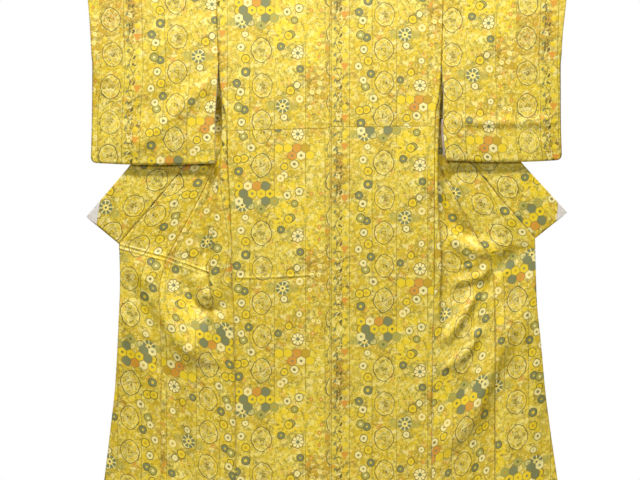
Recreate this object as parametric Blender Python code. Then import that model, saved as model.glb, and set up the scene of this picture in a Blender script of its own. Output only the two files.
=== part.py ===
"""Lined kimono hung on a straight rod through both sleeves, seen from its back (-Y).

Both fronts are turned out to the sides behind the sleeves, so their patterned face looks to -Y.
Metres, +Z up, origin at the middle of the rod's axis. The back of the garment faces -Y.

The patterned face of every panel is worked out first, and the wall is then laid behind it.
Each half of the garment is drawn with a coordinate called out, which grows away from the centre
back seam, and a coordinate called down, the cloth's length measured from the shoulder fold.
"""
import bisect
import math

import bmesh
import bpy
from mathutils import Vector

# Cloth and rod
WALL = 0.0016
SEAM_GAP = 0.0003
ROD_RADIUS = 0.0125
ROD_LENGTH = 1.44
ROD_SIDES = 24

# The fold over the rod: its patterned face's radius clears the rod at the middle of each flat
ARC_STEPS = 3
FOLD_RADIUS = (ROD_RADIUS + SEAM_GAP) / math.cos(math.pi / 4 / ARC_STEPS) + WALL
ARC_LENGTH = FOLD_RADIUS * math.pi / 2

# Neck opening and collar
NECK_POINT = 0.089
NECK_DROP = 0.045
COLLAR_AT_NECK = 0.055
TIP_GAP = 0.0004

# The front's lapel: turned cloth at the shoulder, its growth, and where it lies fully over
LAPEL_AT_SHOULDER = (0.0108, -0.0050)
LAPEL_GROWTH = 1.2
LAPEL_TURNED = 0.08
LAPEL_BULGE = 1.3
LAPEL_ROLL = 0.0022
LAYER_STEP = 0.006

# Cloth lengths from the shoulder fold down
ATTACH_DOWN = 0.2526
OVERLAP_TOP = 0.270
CURL_TOP = 0.300
SIDE_SEAM_TOP = 0.390
CREASE_DOWN = 0.8226
PLEAT_STEPPED = 0.95
PLEAT_SPREADS = 0.90
PLEAT_SPREAD = 1.07
PLEAT_MERGES = 1.02
PLEAT_MERGED = 1.25

# Free side edge above the side seam: the cloth in its bend, and beyond it
BEND_LENGTH = 0.010
EDGE_STRIP = 0.002

# Width over which the soft folds fade out beside the side pleat
FOLD_FADE = 0.05

# Sleeves: where the closing below the cuff starts and ends, its width, how flat closed cloth lies
CUFF_OPENING = 0.2526
CUFF_CLOSES = 0.2426
CUFF_CLOSED = 0.3426
CUFF_WIDTH = 0.06
CUFF_FLATTENS = 0.55
BOTTOM_FLATTENS = 0.275
BOTTOM_HEIGHT = 0.05
BOTTOM_BOW = 0.005
SLEEVE_CORNER = 0.016
CORNER_TURN = 0.94 * math.pi / 2

# Strip of lining past the right sleeve's inner edge
LINING_ROWS = [0.40, 0.42, 0.44, 0.46, 0.48, 0.50]
LINING_WIDTH = 0.004
LINING_SET_BACK = 0.0008

# Colours
SILK = (0.62, 0.47, 0.13)
PALE_LINING = (0.72, 0.68, 0.58)
SLEEVE_LINING = (0.42, 0.33, 0.24)
ROD_WOOD = (0.60, 0.44, 0.26)

# Cloth lengths below the shoulder at which every long panel has a row
ARC_ROWS = [ARC_LENGTH * step / ARC_STEPS for step in range(ARC_STEPS + 1)]
NECK_ROWS = [0.031, 0.038, 0.0428]
PANEL_ROWS = ARC_ROWS + [
    0.045, 0.08, 0.11, 0.15, 0.20, 0.2526, 0.27, 0.31, 0.33, 0.35, 0.39, 0.44, 0.50, 0.56, 0.62,
    0.68, 0.73, 0.770, 0.8226, 0.84, 0.86, 0.88, 0.90, 0.925, 0.95, 0.98, 1.02, 1.07, 1.13, 1.21,
    1.30, 1.40, 1.50, 1.6046]

# Half of the distance between the patterned faces of back and front: height, half
LAYER_HALF = [(-1.60, 0.0045), (-0.80, 0.0052), (-0.50, 0.0062), (-0.37, 0.0070), (-0.25, 0.0085),
              (-0.10, 0.0118), (0.0, FOLD_RADIUS)]

# Depth of the spread front below the crease: cloth length, y
FRONT_DEPTH = [(0.80, 0.0112), (0.90, 0.006), (1.0, 0.002), (1.2, 0.0), (1.6046, 0.0)]

# Each half of the garment: tables of cloth length, out, height or of cloth length, out
HALVES = {
    "left": {
        "sign": -1,
        "side_edge": [(0.0, 0.3080), (0.25, 0.3015), (0.31, 0.2975), (0.39, 0.2820), (0.50, 0.2780),
                      (0.68, 0.2690), (0.82, 0.2650), (1.02, 0.2580), (1.30, 0.2550), (1.61, 0.2550)],
        "outer_fold": [(0.2526, 0.3013), (0.31, 0.2972), (0.35, 0.2945), (0.39, 0.2930), (0.50, 0.2970),
                       (0.63, 0.3080), (0.70, 0.3172), (0.76, 0.3218), (0.8226, 0.3268), (1.61, 0.3268)],
        "inner_fold": [(0.0, 0.1010), (0.20, 0.1180), (0.37, 0.1450), (0.60, 0.2220), (0.8226, 0.2988),
                       (1.61, 0.2988)],
        "front_seam": [(0.0, 0.1117, 0.0200), (0.08, 0.1340, -0.0500), (0.15, 0.1560, -0.1150),
                       (0.27, 0.1950, -0.2280), (0.42, 0.2620, -0.3720), (0.62, 0.3375, -0.5560),
                       (0.79, 0.4227, -0.7174), (0.8226, 0.4391, -0.7487), (0.86, 0.4500, -0.7850),
                       (0.915, 0.4610, -0.8380), (1.0, 0.4590, -0.9230), (1.10, 0.4570, -1.0220),
                       (1.35, 0.4570, -1.2720), (1.6046, 0.4600, -1.5300)],
        "collar_seam": [(0.27, 0.2000, -0.2310), (0.643, 0.4422, -0.5619), (0.8226, 0.5724, -0.7139)],
        "free_edge": [(0.8226, 0.5724, -0.7139), (0.9226, 0.5695, -0.8139), (1.033, 0.5722, -0.9248),
                      (1.198, 0.5806, -1.0897), (1.326, 0.5943, -1.2168), (1.462, 0.6108, -1.3520),
                      (1.6046, 0.6270, -1.4950)],
        "collar_width": [(0.0, COLLAR_AT_NECK), (0.30, 0.075), (0.50, 0.105), (0.643, 0.117), (0.8226, 0.1157)],
        "collar_tip": (0.6617, -0.6403),
        "tip_legs": (0.056, 0.036),
        "sleeve_outer": [(0.0, 0.6590), (0.08, 0.6530), (0.10, 0.6510), (0.20, 0.6450), (0.27, 0.6430),
                         (0.40, 0.6441), (0.52, 0.6470)],
        "sleeve_inner": [(0.2526, 0.3017), (0.30, 0.3040), (0.36, 0.3083), (0.40, 0.3108), (0.52, 0.3112)],
        "sleeve_bottom": -0.5000,
    },
    "right": {
        "sign": 1,
        "side_edge": [(0.0, 0.3080), (0.25, 0.3012), (0.31, 0.2985), (0.39, 0.2855), (0.48, 0.2840),
                      (0.57, 0.2832), (0.68, 0.2826), (0.82, 0.2826), (1.02, 0.2785), (1.30, 0.2758),
                      (1.61, 0.2750)],
        "outer_fold": [(0.2526, 0.3010), (0.31, 0.2986), (0.35, 0.2978), (0.39, 0.2970), (0.48, 0.2935),
                       (0.57, 0.2918), (0.70, 0.2974), (0.79, 0.3018), (0.8226, 0.3015), (1.61, 0.3015)],
        "inner_fold": [(0.0, 0.1010), (0.20, 0.1160), (0.37, 0.1400), (0.60, 0.2050), (0.8226, 0.2697),
                       (1.61, 0.2697)],
        "front_seam": [(0.0, 0.1117, 0.0200), (0.08, 0.1345, -0.0500), (0.15, 0.1545, -0.1160),
                       (0.27, 0.1880, -0.2300), (0.42, 0.2500, -0.3750), (0.60, 0.3164, -0.5408),
                       (0.665, 0.3461, -0.6003), (0.735, 0.3799, -0.6614), (0.80, 0.4137, -0.7203),
                       (0.8226, 0.4250, -0.7380), (0.86, 0.4400, -0.7700), (0.95, 0.4480, -0.8550),
                       (1.10, 0.4475, -1.0050), (1.35, 0.4480, -1.2550), (1.6046, 0.4490, -1.5150)],
        "collar_seam": [(0.27, 0.1930, -0.2330), (0.643, 0.4266, -0.5467), (0.8226, 0.5568, -0.6987)],
        "free_edge": [(0.8226, 0.5568, -0.6987), (0.908, 0.5584, -0.7842), (0.989, 0.5603, -0.8653),
                      (1.114, 0.5716, -0.9897), (1.215, 0.5800, -1.0897), (1.327, 0.5938, -1.2006),
                      (1.48, 0.6157, -1.3520), (1.6046, 0.6354, -1.4845)],
        "collar_width": [(0.0, COLLAR_AT_NECK), (0.30, 0.075), (0.50, 0.098), (0.643, 0.106), (0.8226, 0.1119)],
        "collar_tip": (0.6441, -0.6287),
        "tip_legs": (0.034, 0.036),
        "sleeve_outer": [(0.0, 0.6419), (0.08, 0.6370), (0.10, 0.6350), (0.20, 0.6260), (0.27, 0.6241),
                         (0.40, 0.6245), (0.52, 0.6275)],
        "sleeve_inner": [(0.2526, 0.3015), (0.30, 0.3040), (0.34, 0.3069), (0.43, 0.3056), (0.48, 0.3090),
                         (0.52, 0.3145)],
        "sleeve_bottom": -0.4925,
    },
}

# Soft folds of the spread fronts, in the garment's X and Z: start, end, height towards the back
# face, half width at the start and at the end
FRONT_FOLDS = [
    {"start": (-0.540, -0.730), "end": (-0.290, -1.040), "height": 0.014, "widths": (0.030, 0.036)},
    {"start": (-0.560, -0.790), "end": (-0.390, -1.230), "height": 0.012, "widths": (0.028, 0.040)},
    {"start": (-0.480, -0.960), "end": (-0.330, -1.560), "height": -0.010, "widths": (0.026, 0.040)},
    {"start": (-0.560, -1.150), "end": (-0.500, -1.580), "height": 0.009, "widths": (0.024, 0.032)},
    {"start": (0.530, -0.730), "end": (0.240, -1.310), "height": 0.013, "widths": (0.030, 0.036)},
    {"start": (0.455, -0.740), "end": (0.300, -0.990), "height": 0.011, "widths": (0.026, 0.030)},
    {"start": (0.505, -0.840), "end": (0.370, -1.450), "height": -0.009, "widths": (0.026, 0.036)},
    {"start": (0.560, -0.960), "end": (0.520, -1.560), "height": 0.010, "widths": (0.026, 0.034)},
]
# Soft folds of the sleeves, in the same form
SLEEVE_FOLDS = [
    {"start": (-0.315, -0.245), "end": (-0.500, -0.460), "height": 0.004, "widths": (0.012, 0.022)},
    {"start": (0.320, -0.392), "end": (0.610, -0.392), "height": 0.004, "widths": (0.010, 0.014)},
]

# Steps across a body length: overlap side to lapel fold, lapel fold, inner layer, side fold, strip
ACROSS = {"turned": 5, "lapel": 4, "inner": 3, "side": 4, "strip": 1}


def at(table, position):
    """Smooth value of a table at a position: a cubic through its rows, one value or a pair."""
    keys = [row[0] for row in table]
    position = min(max(position, keys[0]), keys[-1])
    index = min(max(bisect.bisect_right(keys, position) - 1, 0), len(keys) - 2)
    width = keys[index + 1] - keys[index]
    t = (position - keys[index]) / width
    values = []
    for column in range(1, len(table[0])):
        start = table[index][column]
        end = table[index + 1][column]
        slope = (end - start) / width
        before = slope
        after = slope
        if index > 0:
            left = (start - table[index - 1][column]) / (keys[index] - keys[index - 1])
            before = 0.0 if left * slope <= 0 else 2 * left * slope / (left + slope)
        if index < len(keys) - 2:
            right = (table[index + 2][column] - end) / (keys[index + 2] - keys[index + 1])
            after = 0.0 if right * slope <= 0 else 2 * right * slope / (right + slope)
        values.append(start * (2 * t ** 3 - 3 * t ** 2 + 1) + end * (3 * t ** 2 - 2 * t ** 3)
                      + width * (before * (t ** 3 - 2 * t ** 2 + t) + after * (t ** 3 - t ** 2)))
    return values[0] if len(values) == 1 else tuple(values)


def ease(low, high, value):
    """0 below low, 1 above high, smooth between."""
    t = min(max((value - low) / (high - low), 0.0), 1.0)
    return t * t * (3 - 2 * t)


def fold_depth(folds, x, z):
    """How far the soft folds push the cloth along Y at a place on the garment."""
    depth = 0.0
    for fold in folds:
        start = Vector(fold["start"])
        run = Vector(fold["end"]) - start
        offset = Vector((x, z)) - start
        along = min(max(offset.dot(run) / run.length_squared, 0.0), 1.0)
        away = (offset - run * along).length
        half_width = fold["widths"][0] + (fold["widths"][1] - fold["widths"][0]) * along
        fade = ease(0.0, 0.25, along) * (1 - 0.75 * ease(0.6, 1.0, along))
        depth -= fold["height"] * fade * math.exp(-(away / half_width) ** 2)
    return depth


def front_fold(half, down, out, z):
    """Depth of a front's soft folds: none where the layers of the side pleat lie on each other."""
    merged = ease(PLEAT_MERGES, PLEAT_MERGED, down)
    clear = ease(0.0, FOLD_FADE, out - at(half["outer_fold"], down))
    return fold_depth(FRONT_FOLDS, half["sign"] * out, z) * max(merged, clear)


def hung(down):
    """Y and Z of the patterned face of cloth that hangs over the rod, by its length from the fold."""
    side = 1 if down > 0 else -1
    length = abs(down)
    if length <= ARC_LENGTH:
        turn = length / FOLD_RADIUS
        return side * FOLD_RADIUS * math.sin(turn), FOLD_RADIUS * math.cos(turn)
    height = ARC_LENGTH - length
    return side * at(LAYER_HALF, height), height


def side_curl(outer, layer, curl, strip):
    """The front's side edge, flat at curl 0 and folded round to the back at 1, and where it starts."""
    full_turn = max(math.pi * curl, 0.01)
    radius = (math.pi * layer * curl + BEND_LENGTH * (1 - curl)) / full_turn
    start = outer - radius * math.sin(min(full_turn, math.pi / 2)) - strip * max(math.cos(full_turn), 0.0)
    points = []
    for step in range(1, ACROSS["side"] + 1):
        turn = full_turn * step / ACROSS["side"]
        points.append((start + radius * math.sin(turn), layer - radius * (1 - math.cos(turn))))
    points.append((points[-1][0] + strip * math.cos(full_turn), points[-1][1] - strip * math.sin(full_turn)))
    return start, points


def front_row(half, down):
    """Points of a body length's front at one cloth length, from its front seam to its side edge."""
    sign = half["sign"]
    y_front, height = hung(down)
    layer = abs(y_front) if down > ARC_LENGTH else FOLD_RADIUS
    edge = at(half["side_edge"], down) - SEAM_GAP / 2
    inner = at(half["inner_fold"], down)
    outer = at(half["outer_fold"], down) if down > ATTACH_DOWN else edge
    seam_out, seam_height = at(half["front_seam"], down)
    lapel_radius = LAYER_STEP / 2
    turned_y = layer + LAYER_STEP
    curl = ease(CURL_TOP, SIDE_SEAM_TOP, down)
    strip = outer - layer - edge if curl == 1 else EDGE_STRIP * (1 + abs(math.cos(math.pi * curl)))
    start, side_points = side_curl(outer, layer, curl, strip)

    # folded form: the turned front, the lapel fold, the inner layer and the side fold
    folded = []
    for step in range(ACROSS["turned"] + 1):
        share = step / ACROSS["turned"]
        folded.append((seam_out + (inner + lapel_radius - seam_out) * share, turned_y,
                       seam_height + (height - seam_height) * share))
    for step in range(1, ACROSS["lapel"]):
        turn = math.pi * step / ACROSS["lapel"]
        folded.append((inner + lapel_radius - lapel_radius * math.sin(turn) * LAPEL_BULGE,
                       layer + lapel_radius + lapel_radius * math.cos(turn), height))
    for step in range(ACROSS["inner"] + 1):
        share = step / ACROSS["inner"]
        folded.append((inner + lapel_radius + (start - inner - lapel_radius) * share, layer, height))
    folded += [(out, y, height) for out, y in side_points]

    # below the crease the folds first become one plain step, which then spreads and sinks to one layer
    stepped = ease(CREASE_DOWN, PLEAT_STEPPED, down)
    spread = ease(PLEAT_SPREADS, PLEAT_SPREAD, down)
    merge = ease(PLEAT_MERGES, PLEAT_MERGED, down)
    step_first = ACROSS["turned"]
    step_last = len(folded) - 2
    step_out = outer - layer
    run_lengths = [seam_out - step_out, turned_y + layer, step_out - edge]
    total = sum(run_lengths)
    points = []
    for index, (out, y, z) in enumerate(folded):
        if index <= step_first:
            share = index / step_first
            length = run_lengths[0] * share
            plain = (seam_out + (step_out - seam_out) * share, turned_y)
        elif index <= step_last:
            share = (index - step_first) / (step_last - step_first)
            length = run_lengths[0] + run_lengths[1] * share
            plain = (step_out, turned_y + (-layer - turned_y) * share)
        else:
            length = total
            plain = (edge, -layer)
        share = length / total
        out += (plain[0] - out) * stepped
        y += (plain[1] - y) * stepped
        out += (seam_out + (edge - seam_out) * share - out) * spread
        z += (seam_height + (height - seam_height) * share - z) * spread
        y += (at(FRONT_DEPTH, down) * (1 - share) - layer * share - y) * merge
        points.append((out, y, z))
    if down < LAPEL_TURNED:
        points = unrolled(half, down, points, inner, edge)
    return [Vector((sign * out, y + front_fold(half, down, out, z), z)) for out, y, z in points]


def unrolled(half, down, points, inner, edge):
    """Near the shoulder the lapel is still turning over: the row rolls open about its fold."""
    roll = down / LAPEL_TURNED
    angle = math.pi * (1 - roll)
    turn = down / FOLD_RADIUS if down <= ARC_LENGTH else math.pi / 2
    tangent = Vector((0, math.cos(turn), -math.sin(turn)))
    normal = Vector((0, math.sin(turn), math.cos(turn)))
    base = Vector((0, *hung(down)))
    axis = Vector((at(half["inner_fold"], 0.2) - at(half["inner_fold"], 0.0), 0.2)).normalized()
    seam_out, _, seam_height = points[0]
    reach = Vector((seam_out - inner, base.z - seam_height))
    if down <= ARC_LENGTH:
        reach = Vector(LAPEL_AT_SHOULDER) * (1 + LAPEL_GROWTH * roll)
    along = axis * reach.dot(axis)
    across = reach - along
    result = []
    turned = ACROSS["turned"]
    for index, (out, y, z) in enumerate(points):
        if index <= turned:
            share = 1 - index / turned
            flat = along * share + across * share * math.cos(angle)
            lift = across.length * share * math.sin(angle) + LAYER_STEP * roll
            offset_out = flat[0] - LAPEL_ROLL * (1 - roll)
            place = base + tangent * flat[1] + normal * lift
            result.append((inner + offset_out, place.y, place.z))
        elif index < turned + ACROSS["lapel"]:
            share = (index - turned) / ACROSS["lapel"]
            flat_out = inner - LAPEL_ROLL + 2 * LAPEL_ROLL * share
            folded_out = inner + LAYER_STEP / 2 * (1 - LAPEL_BULGE * math.sin(math.pi * share))
            out_here = flat_out + (folded_out - flat_out) * roll
            lift = LAYER_STEP * (1 - share) * roll
            place = base + normal * lift
            result.append((out_here, place.y, place.z))
        else:
            first = turned + ACROSS["lapel"]
            share = (index - first) / (len(points) - 1 - first)
            start = inner + LAPEL_ROLL + (LAYER_STEP / 2 - LAPEL_ROLL) * roll
            even = start + (edge - start) * share
            mixed = even + (out - even) * ease(0.0, LAPEL_TURNED, down)
            result.append((mixed, base.y, base.z))
    return result


def back_row(half, down):
    """Points of a body length's back at one cloth length, from the centre seam to its side edge."""
    sign = half["sign"]
    y_back, height = hung(-down)
    edge = at(half["side_edge"], down) - SEAM_GAP / 2
    if down > ATTACH_DOWN:
        curl = ease(CURL_TOP, SIDE_SEAM_TOP, down)
        edge = abs(front_row(half, down)[-1].x) - SEAM_GAP - 1.5 * WALL * math.sin(math.pi * curl)
    centre = SEAM_GAP / 2
    if down < NECK_DROP:
        centre = max(centre, NECK_POINT * math.sqrt(1 - (down / NECK_DROP) ** 2))
    count = sum(ACROSS.values())
    shoulder = [abs(point.x) for point in front_row(half, 0.0)]
    even_share = ease(0.0, 0.20, down)
    row = []
    for index in range(count + 1):
        even = centre + (edge - centre) * index / count
        share = (shoulder[index] - shoulder[0]) / (shoulder[-1] - shoulder[0])
        above = centre + (edge - centre) * share
        out = above + (even - above) * even_share
        row.append(Vector((sign * out, y_back + front_fold(half, down, out, height), height)))
    return row


def body_rows(half):
    """All rows of a body length, from the back hem over the shoulder to the front hem."""
    rows = [back_row(half, down) for down in reversed(sorted(PANEL_ROWS[1:] + NECK_ROWS))]
    rows += [front_row(half, down) for down in PANEL_ROWS]
    return rows


def overlap_rows(half):
    """Rows of the overlap panel, from below the collar's bend to the front hem."""
    sign = half["sign"]
    steps = 5
    rows = []
    for down in [down for down in PANEL_ROWS if down > OVERLAP_TOP + 0.01]:
        inner = front_row(half, down)[0]
        out, z = at(half["collar_seam" if down <= CREASE_DOWN else "free_edge"], down)
        run = Vector((sign * out - inner.x, 0, z - inner.z))
        side = run.normalized()
        first = inner + side * SEAM_GAP
        row = []
        for step in range(steps + 1):
            share = step / steps
            place = first + (run - side * 2 * SEAM_GAP) * share
            row.append(Vector((place.x, inner.y - fold_depth(FRONT_FOLDS, inner.x, inner.z)
                               + fold_depth(FRONT_FOLDS, place.x, place.z), place.z)))
        rows.append(row)
    return rows


# Which way the collar stands from its seam near the neck: cloth length, out, y, height
COLLAR_LEAN = [(-NECK_DROP, 0.0, -0.15, 0.99), (-0.022, 0.08, -0.08, 0.99), (0.0, 0.28, 0.16, 0.95),
               (0.03, 0.45, 0.42, 0.79), (0.08, 0.68, 0.20, 0.71), (0.15, 0.75, 0.0, 0.66),
               (0.27, 0.77, 0.0, 0.64), (0.35, 0.79, 0.0, 0.61)]


def collar_side(half):
    """Seam points and width directions of one half of the collar, from the back neck to the tip."""
    sign = half["sign"]
    places = []
    for down in reversed(ARC_ROWS[1:] + NECK_ROWS):
        places.append((-down, back_row(half, down)[0]))
    for down in PANEL_ROWS:
        if down > CREASE_DOWN:
            break
        if down <= OVERLAP_TOP:
            places.append((down, front_row(half, down)[0]))
        else:
            places.append((down, overlap_rows_edge(half, down)))
    rows = []
    for index, (down, place) in enumerate(places):
        before = places[max(index - 1, 0)][1]
        after = places[min(index + 1, len(places) - 1)][1]
        run = (after - before).normalized()
        if down < COLLAR_LEAN[-1][0]:
            lean = Vector(at(COLLAR_LEAN, down))
            side = Vector((sign * lean.x, lean.y, lean.z)).normalized()
        else:
            side = Vector((-sign * run.z, 0, sign * run.x)).normalized()
        if down == CREASE_DOWN:
            tip = Vector((sign * half["collar_tip"][0], place.y, half["collar_tip"][1]))
            side = (tip - place).normalized()
        width = at(half["collar_width"], max(down, 0.0))
        rows.append((down, place, side, width))
    along_leg, end_leg = half["tip_legs"]
    last = rows[-1]
    before = rows[-2]
    share = 1 - along_leg / (last[1] - before[1]).length
    cut_start = (last[0], before[1].lerp(last[1], share), before[2].lerp(last[2], share).normalized(),
                 before[3] + (last[3] - before[3]) * share)
    rows[-1:] = [cut_start, (last[0], last[1], last[2], last[3] - end_leg)]
    return rows


def overlap_rows_edge(half, down):
    """The overlap's outer corner at one cloth length, where the collar is sewn on."""
    inner = front_row(half, down)[0]
    out, z = at(half["collar_seam"], down)
    x = half["sign"] * out
    y = inner.y - fold_depth(FRONT_FOLDS, inner.x, inner.z) + fold_depth(FRONT_FOLDS, x, z)
    return Vector((x, y, z))


def collar_rows():
    """Rows of the collar, from the left tip round the back neck to the right tip."""
    steps = 4
    rows = []
    centre = Vector((0.0, *hung(-NECK_DROP)))
    sides = {name: collar_side(half) for name, half in HALVES.items()}
    ordered = sides["left"][::-1]
    ordered.append((-NECK_DROP, centre, Vector(COLLAR_LEAN[0][1:]).normalized(), COLLAR_AT_NECK))
    ordered += sides["right"]
    for down, place, side, width in ordered:
        first = place + side * SEAM_GAP
        rows.append([first + side * (width - SEAM_GAP) * step / steps for step in range(steps + 1)])
    return rows


def new_surface(name, rows, flip, colour, roughness, extra=(), square_above=-math.inf):
    """A closed cloth wall behind a grid of patterned points; extra holds further faces."""
    mesh = bpy.data.meshes.new(name)
    shape = bmesh.new()
    grid = [[shape.verts.new(point) for point in row] for row in rows]
    for first, second in zip(grid[:-1], grid[1:]):
        for column in range(len(first) - 1):
            corners = [first[column], second[column], second[column + 1], first[column + 1]]
            shape.faces.new(corners[::-1] if flip else corners)
    for corners in extra:
        vertices = [grid[row][column] for row, column in corners]
        shape.faces.new(vertices[::-1] if flip else vertices)
    add_wall(shape, square_above)
    shape.to_mesh(mesh)
    shape.free()
    return finish(name, mesh, colour, roughness)


def add_wall(shape, square_above):
    """Lay the inner face one wall behind the patterned one, and close the edges.

    Below the rod, and above the given height, cut edges are square to the garment's plane.
    """
    shape.normal_update()
    outer_faces = list(shape.faces)
    edges = [(edge, edge.link_faces[0]) for edge in shape.edges if len(edge.link_faces) == 1]
    rim = {vertex for edge, face in edges for vertex in edge.verts}
    inner = {}
    for vertex in list(shape.verts):
        normal = Vector()
        for face in vertex.link_faces:
            normal += face.normal
        normal.normalize()
        lies_flat = abs(normal.y) > 0.6 and not any(abs(face.normal.x) > 0.9 for face in vertex.link_faces)
        if vertex in rim and lies_flat and square_above < vertex.co.z < 0:
            normal = Vector((0, math.copysign(1, normal.y), 0))
        inner[vertex] = vertex.co - normal * WALL
    inner = {vertex: shape.verts.new(place) for vertex, place in inner.items()}
    for face in outer_faces:
        shape.faces.new([inner[vertex] for vertex in reversed(face.verts)])
    for edge, face in edges:
        start, end = edge.verts
        for loop in face.loops:
            if loop.edge == edge:
                start = loop.vert
                end = loop.link_loop_next.vert
        shape.faces.new([end, start, inner[start], inner[end]])


def finish(name, mesh, colour, roughness):
    """Place a mesh in the scene as one named object with its own material."""
    part = bpy.data.objects.new(name, mesh)
    bpy.context.scene.collection.objects.link(part)
    material = bpy.data.materials.new(name)
    material.use_nodes = True
    shader = material.node_tree.nodes["Principled BSDF"]
    shader.inputs["Base Color"].default_value = (*colour, 1)
    shader.inputs["Roughness"].default_value = roughness
    mesh.materials.append(material)
    return part


def sleeve(name, half):
    """One cloth folded over the rod, closed along the bottom and below the cuff, open inwards."""
    sign = half["sign"]
    bottom = half["sleeve_bottom"]
    corner_start = bottom + SLEEVE_CORNER
    hanging = [0.06, 0.10, 0.15, 0.20, CUFF_OPENING, 0.30, 0.34, 0.38, 0.42, 0.46]
    lengths = ARC_ROWS[1:] + hanging
    corner_steps = 3
    for step in range(corner_steps + 1):
        turn = CORNER_TURN * step / corner_steps
        lengths.append(ARC_LENGTH - corner_start + SLEEVE_CORNER * math.sin(turn))
    steps = 7

    def row(down, front):
        y, z = hung(down if front else -down)
        outer = at(half["sleeve_outer"], down)
        drop = corner_start - z
        if drop > 0:
            outer -= SLEEVE_CORNER * (1 - math.sqrt(max(1 - (drop / SLEEVE_CORNER) ** 2, 0.0)))
        if down <= ATTACH_DOWN:
            inner = at(half["side_edge"], down) + SEAM_GAP / 2
        else:
            inner = at(half["sleeve_inner"], down)
        points = []
        for step in range(steps + 1):
            share = step / steps
            out = inner + (outer - inner) * share
            centred = 2 * share - 1
            height = z + BOTTOM_BOW * (centred ** 2) * min(z / bottom, 1.0) if z < 0 else z
            closed = ease(outer - CUFF_WIDTH, outer, out) * ease(CUFF_CLOSES, CUFF_CLOSED, down)
            closed_below = 1 - ease(bottom, bottom + BOTTOM_HEIGHT, z)
            flatter = max(CUFF_FLATTENS * closed, BOTTOM_FLATTENS * closed_below)
            x = sign * out
            points.append(Vector((x, y * (1 - flatter) + fold_depth(SLEEVE_FOLDS, x, height), height)))
        return points

    back = [row(down, False) for down in reversed(lengths)]
    top = [row(0.0, True)]
    front = [row(down, True) for down in lengths]
    rows = back + top + front
    last = len(rows) - 1
    extra = []
    for column in range(steps):
        extra.append([(last, column), (0, column), (0, column + 1), (last, column + 1)])
    cuff_row = len(lengths) - 1 - lengths.index(CUFF_OPENING)
    for index in range(cuff_row):
        extra.append([(index, steps), (index + 1, steps), (last - index - 1, steps), (last - index, steps)])
    new_surface(name, rows, sign > 0, SILK, 0.55, extra, corner_start)


def collar_tip(name, half):
    """The pale lining that fills the cut corner of the collar at its tip."""
    sign = half["sign"]
    cut_start, cut_end = collar_side(half)[-2:]
    outer_corner = cut_start[1] + cut_start[2] * cut_start[3]
    end_corner = cut_end[1] + cut_end[2] * cut_end[3]
    tip = cut_end[1] + cut_end[2] * (cut_end[3] + half["tip_legs"][1])
    cut = (end_corner - outer_corner).normalized()
    away = (tip - outer_corner) - cut * (tip - outer_corner).dot(cut)
    away = away.normalized() * TIP_GAP
    steps = 3
    grid = []
    for step in range(steps + 1):
        share = step / steps * 0.96
        grid.append([(end_corner + away).lerp(tip, share), (outer_corner + away).lerp(tip, share)])
    new_surface(name, grid, sign < 0, PALE_LINING, 0.6)


def sleeve_lining(name, half):
    """The lining strip that shows past the sleeve's inner edge below the arm."""
    sign = half["sign"]
    rows = []
    for down in LINING_ROWS:
        y, z = hung(-down)
        outer = at(half["sleeve_inner"], down) - SEAM_GAP
        rows.append([Vector((sign * out, y + LINING_SET_BACK, z)) for out in (outer, outer - LINING_WIDTH)])
    new_surface(name, rows, sign < 0, SLEEVE_LINING, 0.6)


def rod():
    """A plain round rod along X, through both sleeves."""
    mesh = bpy.data.meshes.new("rod")
    shape = bmesh.new()
    bmesh.ops.create_cone(shape, cap_ends=True, segments=ROD_SIDES, radius1=ROD_RADIUS, radius2=ROD_RADIUS,
                          depth=ROD_LENGTH)
    for vertex in shape.verts:
        vertex.co = Vector((vertex.co.z, vertex.co.y, -vertex.co.x))
    shape.to_mesh(mesh)
    shape.free()
    finish("rod", mesh, ROD_WOOD, 0.45)


for item in list(bpy.data.objects):
    bpy.data.objects.remove(item, do_unlink=True)

rod()
for side_name, side_half in HALVES.items():
    right = side_half["sign"] > 0
    new_surface("body_" + side_name, body_rows(side_half), right, SILK, 0.55)
    new_surface("overlap_" + side_name, overlap_rows(side_half), not right, SILK, 0.55)
    sleeve("sleeve_" + side_name, side_half)
    collar_tip("collar_tip_lining_" + side_name, side_half)
new_surface("collar", collar_rows(), False, SILK, 0.55)
sleeve_lining("sleeve_lining_right", HALVES["right"])
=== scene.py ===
"""Looks of a lined silk kimono that hangs flat on a rod: print, silk, lining, seams, folds and light.

Metres, +Z up, origin at the middle of the rod's axis, the garment's back to -Y. Every cloth follows
the same cut and the same tables as its solid, drawn with finer steps.
"""
import bisect
import math

import bmesh
import bpy
from mathutils import Matrix, Vector, noise


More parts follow.
